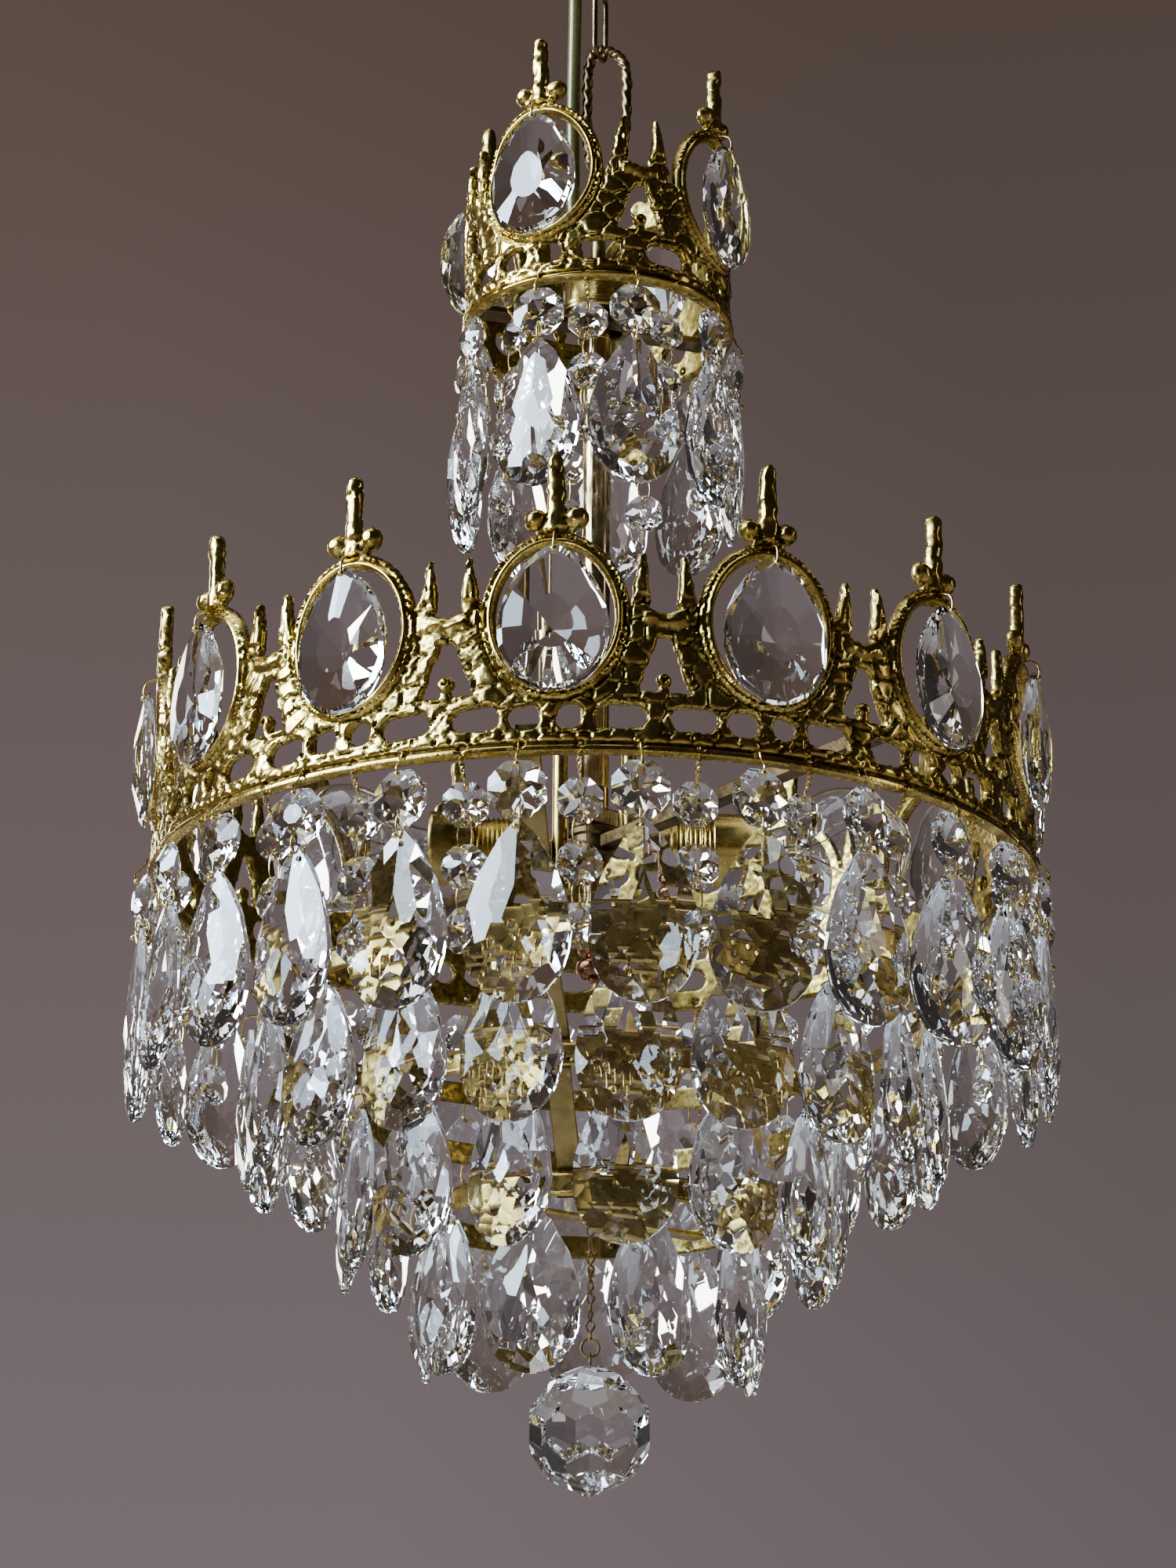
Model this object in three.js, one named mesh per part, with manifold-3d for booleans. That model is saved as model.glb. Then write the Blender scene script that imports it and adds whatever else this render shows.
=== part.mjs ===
// A petite crown chandelier: two cast brass crowns on one stem, a three-step basket of cut crystals
// under the lower crown, two lamps inside it, and a cut crystal ball at the bottom.
// Millimetres, +Z up. The origin is the centre of the ceiling plate's top face.
import * as THREE from "three";
import { mergeVertices } from "three/addons/utils/BufferGeometryUtils.js";
import Module from "manifold-3d";

const wasm = await Module();
wasm.setup();

// ---- driving dimensions ----------------------------------------------------------------------
// Heights below are measured from the lower edge of the lower crown's rim.
const CEILING_Z = 420; // the ceiling face above that edge
const GAP = 0.3; // clearance between pieces that touch
const CASTING = 3; // wall of the cast crowns

const LOWER = { radius: 150, base: 0, modules: 14, phase: -4.8 };
const UPPER = { radius: 46.6, base: 214.5, modules: 4, phase: -27 };

const OVAL = { centre: 45, outerA: 23.3, outerB: 28.2, innerA: 18.4, innerB: 22.9 };
const SPIKE = { top: 100, foot: 81, half: 2.6 };
const BALL_BUMP = { at: 6, centre: 78, radius: 3.3 };
const LEAF = { foot: 25.5, tip: 27.6, half: 2.4, footZ: 51, top: 68 };
const BRIDGE = { top: 46.5, bottom: 40.5 };
const NOTCH = { half: 7.5, top: 38.5, bottom: 21.5 };
const RIM_OPENING = { pitch: 16.6, half: 5.6, top: 16, bottom: 7.2 };

const WINDOW = { width: 34.4, height: 48.5, thick: 7.4, top: 67, out: 5.6, teardrop: 0.4 };
const ALMOND = { width: 33, height: 57.5, thick: 8.6, teardrop: 0.75 };
const TIER_ALMOND_HEIGHT = 55;
const OCTAGON = { large: 18, small: 14, thick: 6.4 };
// Depths below a rim's lower edge: the crystals' centres, the drop's tip and the wire hoops.
const STRAND = { octagon: 12, dropTip: 21, small: [13.2, 33, 52.8], longHoop: 2.4, shortHoop: 5.4, wire: 0.5 };

const STEM = { outer: 5, bore: 4.2, bottom: -12, top: 222 };
const FLEX = { radius: 2.5, sides: 8 };
const CHAIN = { wire: 1, half: 5, reach: 30 };
const HOOK = { wire: 1.5, radius: 6.5 };
const LOOP = { wire: 1.9, top: 335.7, bottom: 283 };
const LINK_TURN = 66; // degrees from the loop's plane to the lower link's plane

const CROSSBAR = { turn: 37, z: 19, width: 6, height: 5 };
const LAMP = { z: 18, arm: 12, cup: 16, collar: 29, sleeve: 41.3, mouth: 57, centre: 87, globe: 22.5 };
const TIERS = [
  { band: 113, top: -40, foot: -48, stand: 114.5, count: 20, phase: 5.6 },
  { band: 79.6, top: -71, foot: -79, stand: 80.8, count: 14, phase: 7.4 },
  { band: 53, top: -107, foot: -115, stand: 54, count: 9, phase: 20 },
];
const BASKET_STRAPS = [82, 172, 262, 352];
const STRAP_INSET = 2.4; // from a band to the middle of the straps inside it
const CRYSTAL_BALL = { radius: 20, centre: -182, neckTop: -162 };

// ---- solids --------------------------------------------------------------------------------
const rad = THREE.MathUtils.degToRad;

// A closed geometry that holds positions alone, with its shared vertices merged.
function closed(geometry, tolerance = 1e-4) {
  const bare = new THREE.BufferGeometry();
  const whole = geometry.index ? geometry.toNonIndexed() : geometry;
  bare.setAttribute("position", whole.getAttribute("position").clone());
  return mergeVertices(bare, tolerance);
}

function toSolid(geometry) {
  const merged = closed(geometry);
  return new wasm.Manifold(
    new wasm.Mesh({
      numProp: 3,
      vertProperties: merged.attributes.position.array,
      triVerts: new Uint32Array(merged.index.array),
    }),
  );
}

function toGeometry(solid) {
  const mesh = solid.getMesh();
  const geometry = new THREE.BufferGeometry();
  geometry.setAttribute("position", new THREE.BufferAttribute(mesh.vertProperties.slice(), 3));
  geometry.setIndex(new THREE.BufferAttribute(mesh.triVerts.slice(), 1));
  return geometry;
}

const join = (geometries) => toGeometry(geometries.map(toSolid).reduce((a, b) => a.add(b)));
const cut = (geometry, tools) =>
  toGeometry(tools.map(toSolid).reduce((a, b) => a.subtract(b), toSolid(geometry)));

// A solid of revolution about Z from [radius, height] points that start and end on the axis,
// listed from the bottom up.
function turned(points, segments = 24) {
  const profile = points.map(([r, z]) => new THREE.Vector2(r, z));
  return new THREE.LatheGeometry(profile, segments).rotateX(Math.PI / 2);
}

// A ring about Z with a rectangular section.
function band(inner, outer, low, high, segments = 40) {
  return turned([[inner, low], [outer, low], [outer, high], [inner, high], [inner, low]], segments);
}

// A round wire or tube along a curve.
function wire(curve, radius, steps, sides = 8) {
  const corners = ellipse(radius, radius, 0, 0, 360, sides).slice(0, -1);
  const section = new THREE.Shape(corners.map(([x, y]) => new THREE.Vector2(x, y)));
  return new THREE.ExtrudeGeometry(section, { steps, extrudePath: curve });
}

// A closed wire ring: a torus turned upright, so that it lies in the XZ plane.
const wireRing = (radius, thick, segments = 20, sides = 8) =>
  new THREE.TorusGeometry(radius, thick, sides, segments).rotateX(Math.PI / 2);

// A chain link in the XZ plane with straight limbs and round ends, stretched from a torus.
function chainLink() {
  const stretch = CHAIN.reach - 2 * CHAIN.half;
  const link = wireRing(CHAIN.half, CHAIN.wire, 16, 6);
  const position = link.getAttribute("position");
  for (let i = 0; i < position.count; i++) {
    const z = position.getZ(i);
    if (Math.abs(z) > 1e-3) position.setZ(i, z + (Math.sign(z) * stretch) / 2);
  }
  return link;
}

// ---- where things stand round the axis ----------------------------------------------------
// Azimuth 0 faces -Y and grows towards +X.
const around = (azimuth, radius, z) =>
  new THREE.Vector3(radius * Math.sin(rad(azimuth)), -radius * Math.cos(rad(azimuth)), z);

// Moves a piece that was made facing -Y at the axis out to its place on a ring.
function stand(geometry, azimuth, radius, z) {
  const at = around(azimuth, radius, z);
  return geometry.rotateZ(rad(azimuth)).translate(at.x, at.y, at.z);
}

const azimuths = (count, phase) =>
  Array.from({ length: count }, (_, i) => phase + (i * 360) / count);

// ---- cast crowns ----------------------------------------------------------------------------
const ellipse = (a, b, z, from, to, steps) =>
  Array.from({ length: steps + 1 }, (_, i) => {
    const turn = rad(from + ((to - from) * i) / steps);
    return [a * Math.sin(turn), z + b * Math.cos(turn)];
  });

// The right half of one module's top outline, from the spike's tip to the module's edge.
function topOutline(half) {
  return [
    [SPIKE.half * 0.7, SPIKE.top],
    [SPIKE.half, SPIKE.foot],
    [BALL_BUMP.at, BALL_BUMP.centre + BALL_BUMP.radius],
    [BALL_BUMP.at + BALL_BUMP.radius, BALL_BUMP.centre],
    ...ellipse(OVAL.outerA, OVAL.outerB, OVAL.centre, 30, 58, 1),
    [LEAF.foot - LEAF.half, LEAF.footZ + 5],
    [LEAF.tip, LEAF.top],
    [LEAF.foot + LEAF.half + 2, LEAF.footZ],
    [half, BRIDGE.top],
  ];
}

// The right edge below the bridge: a notch that makes a window with the next module's notch.
const notchOutline = (half) => [
  [half, BRIDGE.bottom],
  [half - NOTCH.half * 0.5, NOTCH.top - 2],
  [half - NOTCH.half, NOTCH.bottom + 1],
  [half, NOTCH.bottom],
];

const mirrored = (points) => points.map(([u, z]) => [-u, z]).reverse();

// One module of a crown as a flat outline with holes, in arc length and height.
function crownModule(half) {
  const right = [...topOutline(half), ...notchOutline(half), [half, 0]];
  const foot = [1, 0, -1].map((k) => [(k * half) / 2, 0]);
  const left = mirrored(right);
  const outline = [...right, ...foot, ...left];
  const holes = [ellipse(OVAL.innerA, OVAL.innerB, OVAL.centre, 0, 360, 10).slice(0, -1)];
  const mid = (RIM_OPENING.top + RIM_OPENING.bottom) / 2;
  const rise = (RIM_OPENING.top - RIM_OPENING.bottom) / 2;
  for (const k of [-1.5, -0.5, 0.5, 1.5]) {
    const ring = ellipse(RIM_OPENING.half, rise, mid, 45, 405, 4).slice(0, -1);
    holes.push(ring.map(([u, z]) => [u + k * RIM_OPENING.pitch, z]));
  }
  return { outline, holes };
}

// A crown: the modules side by side, bent round the axis into one closed casting.
function crown({ radius, base, modules, phase }) {
  const half = (Math.PI * radius) / modules;
  const { outline, holes } = crownModule(half);
  const vectors = (points) => points.map(([u, z]) => new THREE.Vector2(u, z));
  const faces = THREE.ShapeUtils.triangulateShape(vectors(outline), holes.map(vectors));
  const flat = [...outline, ...holes.flat()];
  const bend = ([u, z], depth, azimuth) => {
    const at = around(azimuth + THREE.MathUtils.radToDeg(u / radius), radius + depth, base + z);
    return [at.x, at.y, at.z];
  };
  const onEdge = (a, b) => Math.abs(a[0] - b[0]) < 1e-6 && Math.abs(Math.abs(a[0]) - half) < 1e-6;
  const corners = [];
  for (const azimuth of azimuths(modules, phase)) {
    const front = (p) => bend(p, CASTING / 2, azimuth);
    const back = (p) => bend(p, -CASTING / 2, azimuth);
    for (const [a, b, c] of faces) {
      const ccw = THREE.ShapeUtils.isClockWise(vectors([flat[a], flat[b], flat[c]])) ? [a, c, b] : [a, b, c];
      corners.push(...ccw.map((i) => front(flat[i])), ...ccw.reverse().map((i) => back(flat[i])));
    }
    for (const loop of [outline, ...holes]) {
      const hole = loop !== outline;
      const clockwise = THREE.ShapeUtils.isClockWise(vectors(loop));
      loop.forEach((p, i) => {
        const q = loop[(i + 1) % loop.length];
        if (onEdge(p, q)) return;
        const [a, b] = clockwise === hole ? [p, q] : [q, p];
        corners.push(front(a), back(a), back(b), front(a), back(b), front(b));
      });
    }
  }
  const geometry = new THREE.BufferGeometry();
  geometry.setAttribute("position", new THREE.Float32BufferAttribute(corners.flat(), 3));
  return closed(geometry, 1e-3);
}

// ---- crystals --------------------------------------------------------------------------------
// A cut crystal that faces -Y: a flat outline in X and Z, raised on both sides to a smaller table,
// or to a point where the table is 0.
function crystal(outline, thick, table) {
  const raised = (side) => outline.map(([x, z]) => [x * table, (side * thick) / 2, z * table]);
  const [front, back] = [raised(-1), raised(1)];
  const girdle = outline.map(([x, z]) => [x, 0, z]);
  const corners = [];
  const n = outline.length;
  for (let i = 0; i < n; i++) {
    const j = (i + 1) % n;
    corners.push(girdle[i], front[i], girdle[j], girdle[i], girdle[j], back[i]);
    if (table === 0) continue;
    corners.push(front[i], front[j], girdle[j], back[i], girdle[j], back[j]);
    if (i > 0 && j > 0) corners.push(front[0], front[j], front[i], back[0], back[i], back[j]);
  }
  const geometry = new THREE.BufferGeometry();
  geometry.setAttribute("position", new THREE.Float32BufferAttribute(corners.flat(), 3));
  return closed(geometry);
}

// A drop outline, pointed at the top and round at the bottom, listed clockwise from the top.
function dropOutline(width, height, teardrop, points) {
  const shape = (turn) => Math.sin(turn) * Math.sin(turn / 2) ** teardrop;
  const turns = Array.from({ length: points }, (_, i) => (2 * Math.PI * i) / points);
  const widest = Math.max(...Array.from({ length: 90 }, (_, i) => shape(rad(2 * i))));
  return turns.map((t) => [
    ((width / 2) * Math.sign(Math.sin(t)) * shape(t > Math.PI ? 2 * Math.PI - t : t)) / widest,
    (height / 2) * Math.cos(t),
  ]);
}

const drop = ({ width, height, thick, teardrop }, points, table = 0) =>
  crystal(dropOutline(width, height, teardrop, points), thick, table);

const octagon = (across) => {
  const outline = ellipse(across / 2, across / 2, 0, 0, 360, 8).slice(0, -1);
  return crystal(outline, OCTAGON.thick * (across / OCTAGON.large), 0);
};

// A row of crystal strands on one wire ring. links lists each strand's crystals from the top down,
// and a wire runs through them from the ring to the last one.
const hoopHalf = 0.6;
function strandRow({ radius, count, phase, hoopZ, links }) {
  const hoop = band(radius - hoopHalf, radius + hoopHalf, hoopZ - hoopHalf, hoopZ + hoopHalf, count);
  const pieces = [hoop.rotateZ(rad(phase))];
  const foot = links.at(-1).centre;
  for (const azimuth of azimuths(count, phase)) {
    for (const { make, centre } of links) pieces.push(stand(make(), azimuth, radius, centre));
    if (links.length === 1) continue;
    const line = new THREE.CylinderGeometry(STRAND.wire, STRAND.wire, hoopZ - foot, 4).rotateX(Math.PI / 2);
    pieces.push(stand(line, azimuth, radius, (hoopZ + foot) / 2));
  }
  return join(pieces);
}

// ---- the finished object -------------------------------------------------------------------
const chandelier = new THREE.Group();
chandelier.name = "crown_chandelier";
chandelier.position.z = -CEILING_Z;

const brass = (color = 0xb98d3a, roughness = 0.28) =>
  new THREE.MeshStandardMaterial({ color, roughness, metalness: 1 });
const glass = () => new THREE.MeshStandardMaterial({ color: 0xe6ebf0, roughness: 0.05, metalness: 0 });

function add(name, geometry, material) {
  const mesh = new THREE.Mesh(closed(geometry), material);
  mesh.name = name;
  chandelier.add(mesh);
  return mesh;
}

// Ceiling plate with its hook.
const lowerLinkFoot = LOOP.top - (LOOP.wire + CHAIN.wire + 3 * GAP);
const upperLinkFoot = lowerLinkFoot + CHAIN.reach - (2 * CHAIN.wire + GAP);
const hookBottom = upperLinkFoot + CHAIN.reach - (CHAIN.wire + HOOK.wire + GAP);
const hookCentre = hookBottom + HOOK.radius;
const plateFoot = 408;
add(
  "ceiling_plate",
  turned([[0, plateFoot], [14, plateFoot], [18, 409.5], [30, 411.5], [34, 414], [42, 415.5],
    [45, 417], [45, CEILING_Z], [0, CEILING_Z]], 24),
  brass(),
);
add(
  "ceiling_hook",
  join([
    wireRing(HOOK.radius, HOOK.wire, 14, 6).rotateZ(rad(LINK_TURN)).translate(0, 0, hookCentre),
    turned([[0, hookCentre + HOOK.radius - 0.8], [2, hookCentre + HOOK.radius - 0.8], [2, 404],
      [6, 404.6], [6, plateFoot - GAP], [0, plateFoot - GAP]], 12),
  ]),
  brass(),
);

// Two chain links, hooked into each other at right angles.
add("chain_link_lower", chainLink(), brass(0x8d6f3c)).position.z = lowerLinkFoot + CHAIN.reach / 2;
add("chain_link_upper", chainLink(), brass(0x8d6f3c)).position.z = upperLinkFoot + CHAIN.reach / 2;
chandelier.getObjectByName("chain_link_lower").rotation.z = rad(LINK_TURN);
chandelier.getObjectByName("chain_link_upper").rotation.z = rad(LINK_TURN - 90);

// The cast loop, a little lopsided, on the shank that screws into the stem cap.
const capTop = 236;
const loopCurve = new THREE.CatmullRomCurve3(
  [
    [0, LOOP.top], [3.4, 335.4], [7.8, 332.4], [10, 326], [10.1, 314], [9.6, 300], [6, 288],
    [1, LOOP.bottom], [-3.2, 288], [-4.5, 300], [-4.6, 314], [-4.4, 326], [-2.6, 334.2],
  ].map(([x, z]) => new THREE.Vector3(x, 0, z)),
  true,
);
function closedWire(curve, radius, steps, sides) {
  const geometry = new THREE.TubeGeometry(curve, steps, radius, sides, true);
  return closed(geometry, 1e-3);
}
add(
  "suspension_loop",
  join([
    closedWire(loopCurve, LOOP.wire, 30, 6),
    turned([[0, capTop + GAP], [4.6, capTop + GAP], [4.6, capTop + 3], [3.2, capTop + 6], [2.6, 268],
      [2.4, LOOP.bottom], [0, LOOP.bottom]], 12),
  ]),
  brass(0xa27c36),
);

// Stem cap, flex grip and the flex itself.
const flexX = -9.4;
const flexFoot = capTop + 0.4;
const flexTop = plateFoot - GAP;
const flexEntry = turned([[0, capTop - 8], [3.2, capTop - 8], [3.2, capTop + 1], [0, capTop + 1]], 12);
add(
  "stem_cap",
  cut(
    turned([[0, STEM.top + GAP], [14, STEM.top + GAP], [14, 226], [13, 229], [13, capTop], [0, capTop]], 24),
    [flexEntry.translate(flexX, 0, 0)],
  ),
  brass(),
);
add("flex_grip", band(FLEX.radius + GAP, 4, capTop + GAP, capTop + 6.5, 14), brass()).position.x = flexX;
const flexRoute = new THREE.CatmullRomCurve3(
  [
    [-9.8, 0, flexTop], [-9.8, 0, 400], [-9.6, -0.1, 385], [-9.5, -0.3, 365], [-9.6, -0.5, 345],
    [-9.8, -0.6, 325], [-9.9, -0.5, 305], [-9.7, -0.3, 285], [-9.5, -0.1, 268], [flexX, 0, 252],
    [flexX, 0, flexFoot],
  ].map(([x, y, z]) => new THREE.Vector3(x, y, z)),
);
add("flex", wire(flexRoute, FLEX.radius, 16, FLEX.sides),
  new THREE.MeshStandardMaterial({ color: 0x5f5a3a, roughness: 0.35, metalness: 0 }));

// Crowns and the flat bar that carries the upper one on the stem.
add("upper_crown", crown(UPPER), brass());
add("lower_crown", crown(LOWER), brass());
const upperReach = UPPER.radius - CASTING / 2 - 0.9;
add(
  "upper_crossbar",
  cut(
    join([
      new THREE.BoxGeometry(2 * upperReach, 8, 2.6).rotateZ(rad(18)).translate(0, 0, 218.6),
      turned([[0, 217.3], [9.5, 217.3], [9.5, STEM.top], [0, STEM.top]], 20),
    ]),
    [turned([[0, 210], [STEM.outer + GAP, 210], [STEM.outer + GAP, 230], [0, 230]], 24)],
  ),
  brass(),
);

// Stem, the flex inside it, the square block, the crossbar and the turned finial.
add("stem_tube", band(STEM.bore, STEM.outer, STEM.bottom, STEM.top, 24), brass());
add("stem_lead", turned([[0, 8], [2.2, 8], [2.2, STEM.top - 1], [0, STEM.top - 1]], 8),
  new THREE.MeshStandardMaterial({ color: 0x5f5a3a, roughness: 0.35, metalness: 0 }));
const stemBore = () => turned([[0, -40], [STEM.outer + GAP, -40], [STEM.outer + GAP, 60], [0, 60]], 24);
add(
  "hub_block",
  cut(new THREE.BoxGeometry(13.4, 13.4, 7).rotateZ(rad(40)).translate(0, 0, 28.6), [stemBore()]),
  brass(),
);
const barReach = LOWER.radius - CASTING / 2 - 0.8;
add(
  "lower_crossbar",
  cut(
    join([
      new THREE.BoxGeometry(CROSSBAR.width, 2 * barReach, CROSSBAR.height)
        .rotateZ(rad(CROSSBAR.turn)).translate(0, 0, CROSSBAR.z),
      turned([[0, 14.5], [9, 14.5], [9, 24.8], [0, 24.8]], 20),
    ]),
    [stemBore()],
  ),
  brass(0x6d5424),
);
add(
  "stem_finial",
  turned([[0, -30], [1.5, -29.7], [5.2, -27], [6, -24.6], [4.6, -22], [2.8, -21], [4.8, -19.6],
    [5.4, -18], [4.4, -16.2], [3.4, -15.4], [4.8, -14.2], [5, -12.3], [0, -12.3]], 16),
  brass(0x9c5a30),
);

// The lamps: one side is the other turned half round. Each piece is made along +X.
const alongX = (geometry) => geometry.rotateY(Math.PI / 2).translate(0, 0, LAMP.z);
function lampSide(side, turn) {
  const put = (name, geometry, material) => {
    add(`${name}_${side}`, geometry, material).rotation.z = turn;
  };
  const armRoute = new THREE.CatmullRomCurve3(
    [[8.6, 4.4], [10.4, 4.2], [11.8, 6.4], [LAMP.arm, 11], [LAMP.arm, 20], [LAMP.arm, 38], [LAMP.arm, 56]]
      .map(([x, z]) => new THREE.Vector3(x, 0, z)),
  );
  put("lamp_arm", wire(armRoute, 2.6, 12, 8), brass(0x9a7430));
  put("lampholder", alongX(turned([[0, LAMP.arm + 2.9], [4, LAMP.arm + 2.9], [4, LAMP.cup], [8, LAMP.cup + 3],
    [9.4, LAMP.collar - 2], [11, LAMP.collar], [11, LAMP.sleeve - GAP], [0, LAMP.sleeve - GAP]], 16)), brass());
  put("lamp_sleeve", alongX(turned([[11.4, LAMP.sleeve], [13, LAMP.sleeve], [13, LAMP.mouth],
    [11.4, LAMP.mouth], [11.4, LAMP.sleeve]], 20)), brass());
  const globe = ellipse(LAMP.globe, LAMP.globe, LAMP.centre, 158, 0, 6).map(([r, z]) => [Math.max(r, 0), z]);
  globe[globe.length - 1][0] = 0;
  put("bulb", alongX(turned([[0, LAMP.sleeve + GAP], [6.5, LAMP.sleeve + GAP], [7, 56], ...globe], 14)), glass());
}
lampSide("right", 0);
lampSide("left", Math.PI);

// Basket: three bands, four straps and the bar that carries the ball.
TIERS.forEach(({ band: radius, top, foot }, i) =>
  add(`tier_band_${i + 1}`, band(radius - 0.6, radius + 0.6, foot, top, 28), brass()),
);
const strapLine = [[147.3, 11], [147.3, 3]];
for (const { band: radius, top, foot } of TIERS) strapLine.push([radius - STRAP_INSET, top], [radius - STRAP_INSET, foot]);
function strapSection(line, thick) {
  const normal = (a, b) => new THREE.Vector2(a[1] - b[1], b[0] - a[0]).normalize();
  const side = (sign) =>
    line.map((p, i) => {
      const before = normal(line[Math.max(i - 1, 0)], line[Math.max(i, 1)]);
      const last = line.length - 1;
      const after = normal(line[Math.min(i, last - 1)], line[Math.min(i + 1, last)]);
      const mitre = before.clone().add(after).normalize();
      return new THREE.Vector2(...p).addScaledVector(mitre, (sign * thick) / 2 / mitre.dot(before));
    });
  return new THREE.Shape([...side(1), ...side(-1).reverse()]);
}
BASKET_STRAPS.forEach((azimuth, i) => {
  const width = 8;
  const strap = new THREE.ExtrudeGeometry(strapSection(strapLine, 1.1), { depth: width, bevelEnabled: false });
  // the section lies in X (radius) and Y (height): stand it up and turn it to its azimuth
  strap.translate(0, 0, -width / 2).rotateX(Math.PI / 2).rotateZ(rad(azimuth - 90));
  add(`basket_strap_${i + 1}`, strap, brass());
});
const bottomZ = -112;
add("bottom_bar", cut(new THREE.BoxGeometry(94, 8, 1.6).rotateZ(rad(37)).translate(0, 0, bottomZ),
  [turned([[0, bottomZ - 5], [1.6, bottomZ - 5], [1.6, bottomZ + 5], [0, bottomZ + 5]], 12)]), brass());
const ringWire = 0.7;
const ballRingRadius = 3.2;
const ballRingCentre = CRYSTAL_BALL.neckTop + 2.6;
const hangerBottom = ballRingCentre + ballRingRadius - (2 * ringWire + GAP);
const hangerTop = hangerBottom + 2 * ballRingRadius - 0.2; // inside the ring's upper wire
add(
  "ball_hanger",
  join([
    wireRing(ballRingRadius, ringWire, 14, 6).translate(0, 0, hangerBottom + ballRingRadius),
    turned([[0, hangerTop], [1, hangerTop], [1, bottomZ + 1.1], [3, bottomZ + 1.2],
      [3, bottomZ + 3], [0, bottomZ + 3]], 8),
  ]),
  brass(0xc9a04a),
);
const ballProfile = ellipse(CRYSTAL_BALL.radius, CRYSTAL_BALL.radius, CRYSTAL_BALL.centre, 180, 24, 7);
ballProfile[0][0] = 0;
add(
  "crystal_ball",
  join([
    turned([...ballProfile, [5, CRYSTAL_BALL.neckTop - 0.5], [0, CRYSTAL_BALL.neckTop]], 12),
    wireRing(ballRingRadius, ringWire, 14, 6).rotateZ(Math.PI / 2).translate(0, 0, ballRingCentre),
  ]),
  glass(),
);

// Crystal rows: each row of strands hangs on one fine wire ring.
const longStrand = (top) => ({
  hoopZ: top - STRAND.longHoop,
  links: [
    { make: () => octagon(OCTAGON.large), centre: top - STRAND.octagon },
    { make: () => drop(ALMOND, 8), centre: top - STRAND.dropTip - ALMOND.height / 2 },
  ],
});
const shortStrand = (top) => ({
  hoopZ: top - STRAND.shortHoop,
  links: STRAND.small.map((down) => ({ make: () => octagon(OCTAGON.small), centre: top - down })),
});
const rows = [
  ["rim_strands_long", { radius: 154, count: 26, phase: 5.2, ...longStrand(LOWER.base) }],
  ["rim_strands_short", { radius: 146, count: 26, phase: -1.7, ...shortStrand(LOWER.base) }],
  ["upper_strands_long", { radius: 49.8, count: 9, phase: 15.2, ...longStrand(UPPER.base) }],
  ["upper_strands_short", { radius: 41.8, count: 9, phase: -4.8, ...shortStrand(UPPER.base) }],
];
for (const [name, row] of rows) add(name, strandRow(row), glass());
TIERS.forEach(({ stand: radius, foot, count, phase }, i) => {
  const tierDrop = { ...ALMOND, height: TIER_ALMOND_HEIGHT };
  const centre = foot - 2 - TIER_ALMOND_HEIGHT / 2;
  const links = [{ make: () => drop(tierDrop, 8), centre }];
  add(`tier_pendants_${i + 1}`, strandRow({ radius, count, phase, hoopZ: foot - 2.6, links }), glass());
});

// Window pendants: one in front of each oval, free to swing out on its pin.
function windowPendants(prefix, { radius, base, modules, phase }, digits) {
  azimuths(modules, phase).forEach((azimuth, i) => {
    const centre = base + WINDOW.top - WINDOW.height / 2;
    const geometry = stand(drop(WINDOW, 10, 0.45), azimuth, radius + WINDOW.out, centre);
    add(`${prefix}_${String(i + 1).padStart(digits, "0")}`, geometry, glass());
  });
}
windowPendants("window_pendant", LOWER, 2);
windowPendants("upper_window_pendant", UPPER, 1);

export default chandelier;
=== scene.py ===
from math import atan2, cos, pi, radians, sin

import bmesh
import bpy
import numpy as np
from mathutils import Matrix, Vector


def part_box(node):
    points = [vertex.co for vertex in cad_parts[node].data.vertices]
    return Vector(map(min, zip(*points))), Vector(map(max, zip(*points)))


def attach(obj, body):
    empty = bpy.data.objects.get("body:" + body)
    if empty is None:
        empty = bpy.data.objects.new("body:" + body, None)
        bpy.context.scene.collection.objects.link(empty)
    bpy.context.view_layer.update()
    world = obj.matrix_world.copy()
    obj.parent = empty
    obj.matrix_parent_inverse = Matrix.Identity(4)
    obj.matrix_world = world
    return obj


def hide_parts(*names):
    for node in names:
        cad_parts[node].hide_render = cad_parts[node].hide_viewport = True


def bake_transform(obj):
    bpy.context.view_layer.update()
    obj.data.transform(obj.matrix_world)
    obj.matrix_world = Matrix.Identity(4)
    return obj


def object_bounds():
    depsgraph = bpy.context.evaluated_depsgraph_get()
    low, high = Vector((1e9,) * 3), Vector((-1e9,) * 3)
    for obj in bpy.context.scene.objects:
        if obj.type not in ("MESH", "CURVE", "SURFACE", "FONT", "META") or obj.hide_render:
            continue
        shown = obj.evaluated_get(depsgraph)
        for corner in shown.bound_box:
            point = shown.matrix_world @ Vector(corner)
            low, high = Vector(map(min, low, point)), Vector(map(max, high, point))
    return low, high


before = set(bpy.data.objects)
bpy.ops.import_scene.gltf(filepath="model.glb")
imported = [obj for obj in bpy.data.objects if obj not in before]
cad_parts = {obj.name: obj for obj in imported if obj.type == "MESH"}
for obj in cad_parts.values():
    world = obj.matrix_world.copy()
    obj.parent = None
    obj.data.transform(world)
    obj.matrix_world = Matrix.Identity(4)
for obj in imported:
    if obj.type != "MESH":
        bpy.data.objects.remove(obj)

cad_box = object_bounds()
scene = bpy.context.scene

# Shapes are drawn in millimetres above the lower crown's rim, and piece() moves them to the frame.
MM = 0.001
TAU = 2 * pi
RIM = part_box("lower_crown")[0].z
PLATE_FOOT = (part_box("ceiling_plate")[0].z - RIM) / MM
CAP_TOP = (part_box("stem_cap")[1].z - RIM) / MM
chance = np.random.default_rng(11)

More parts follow.
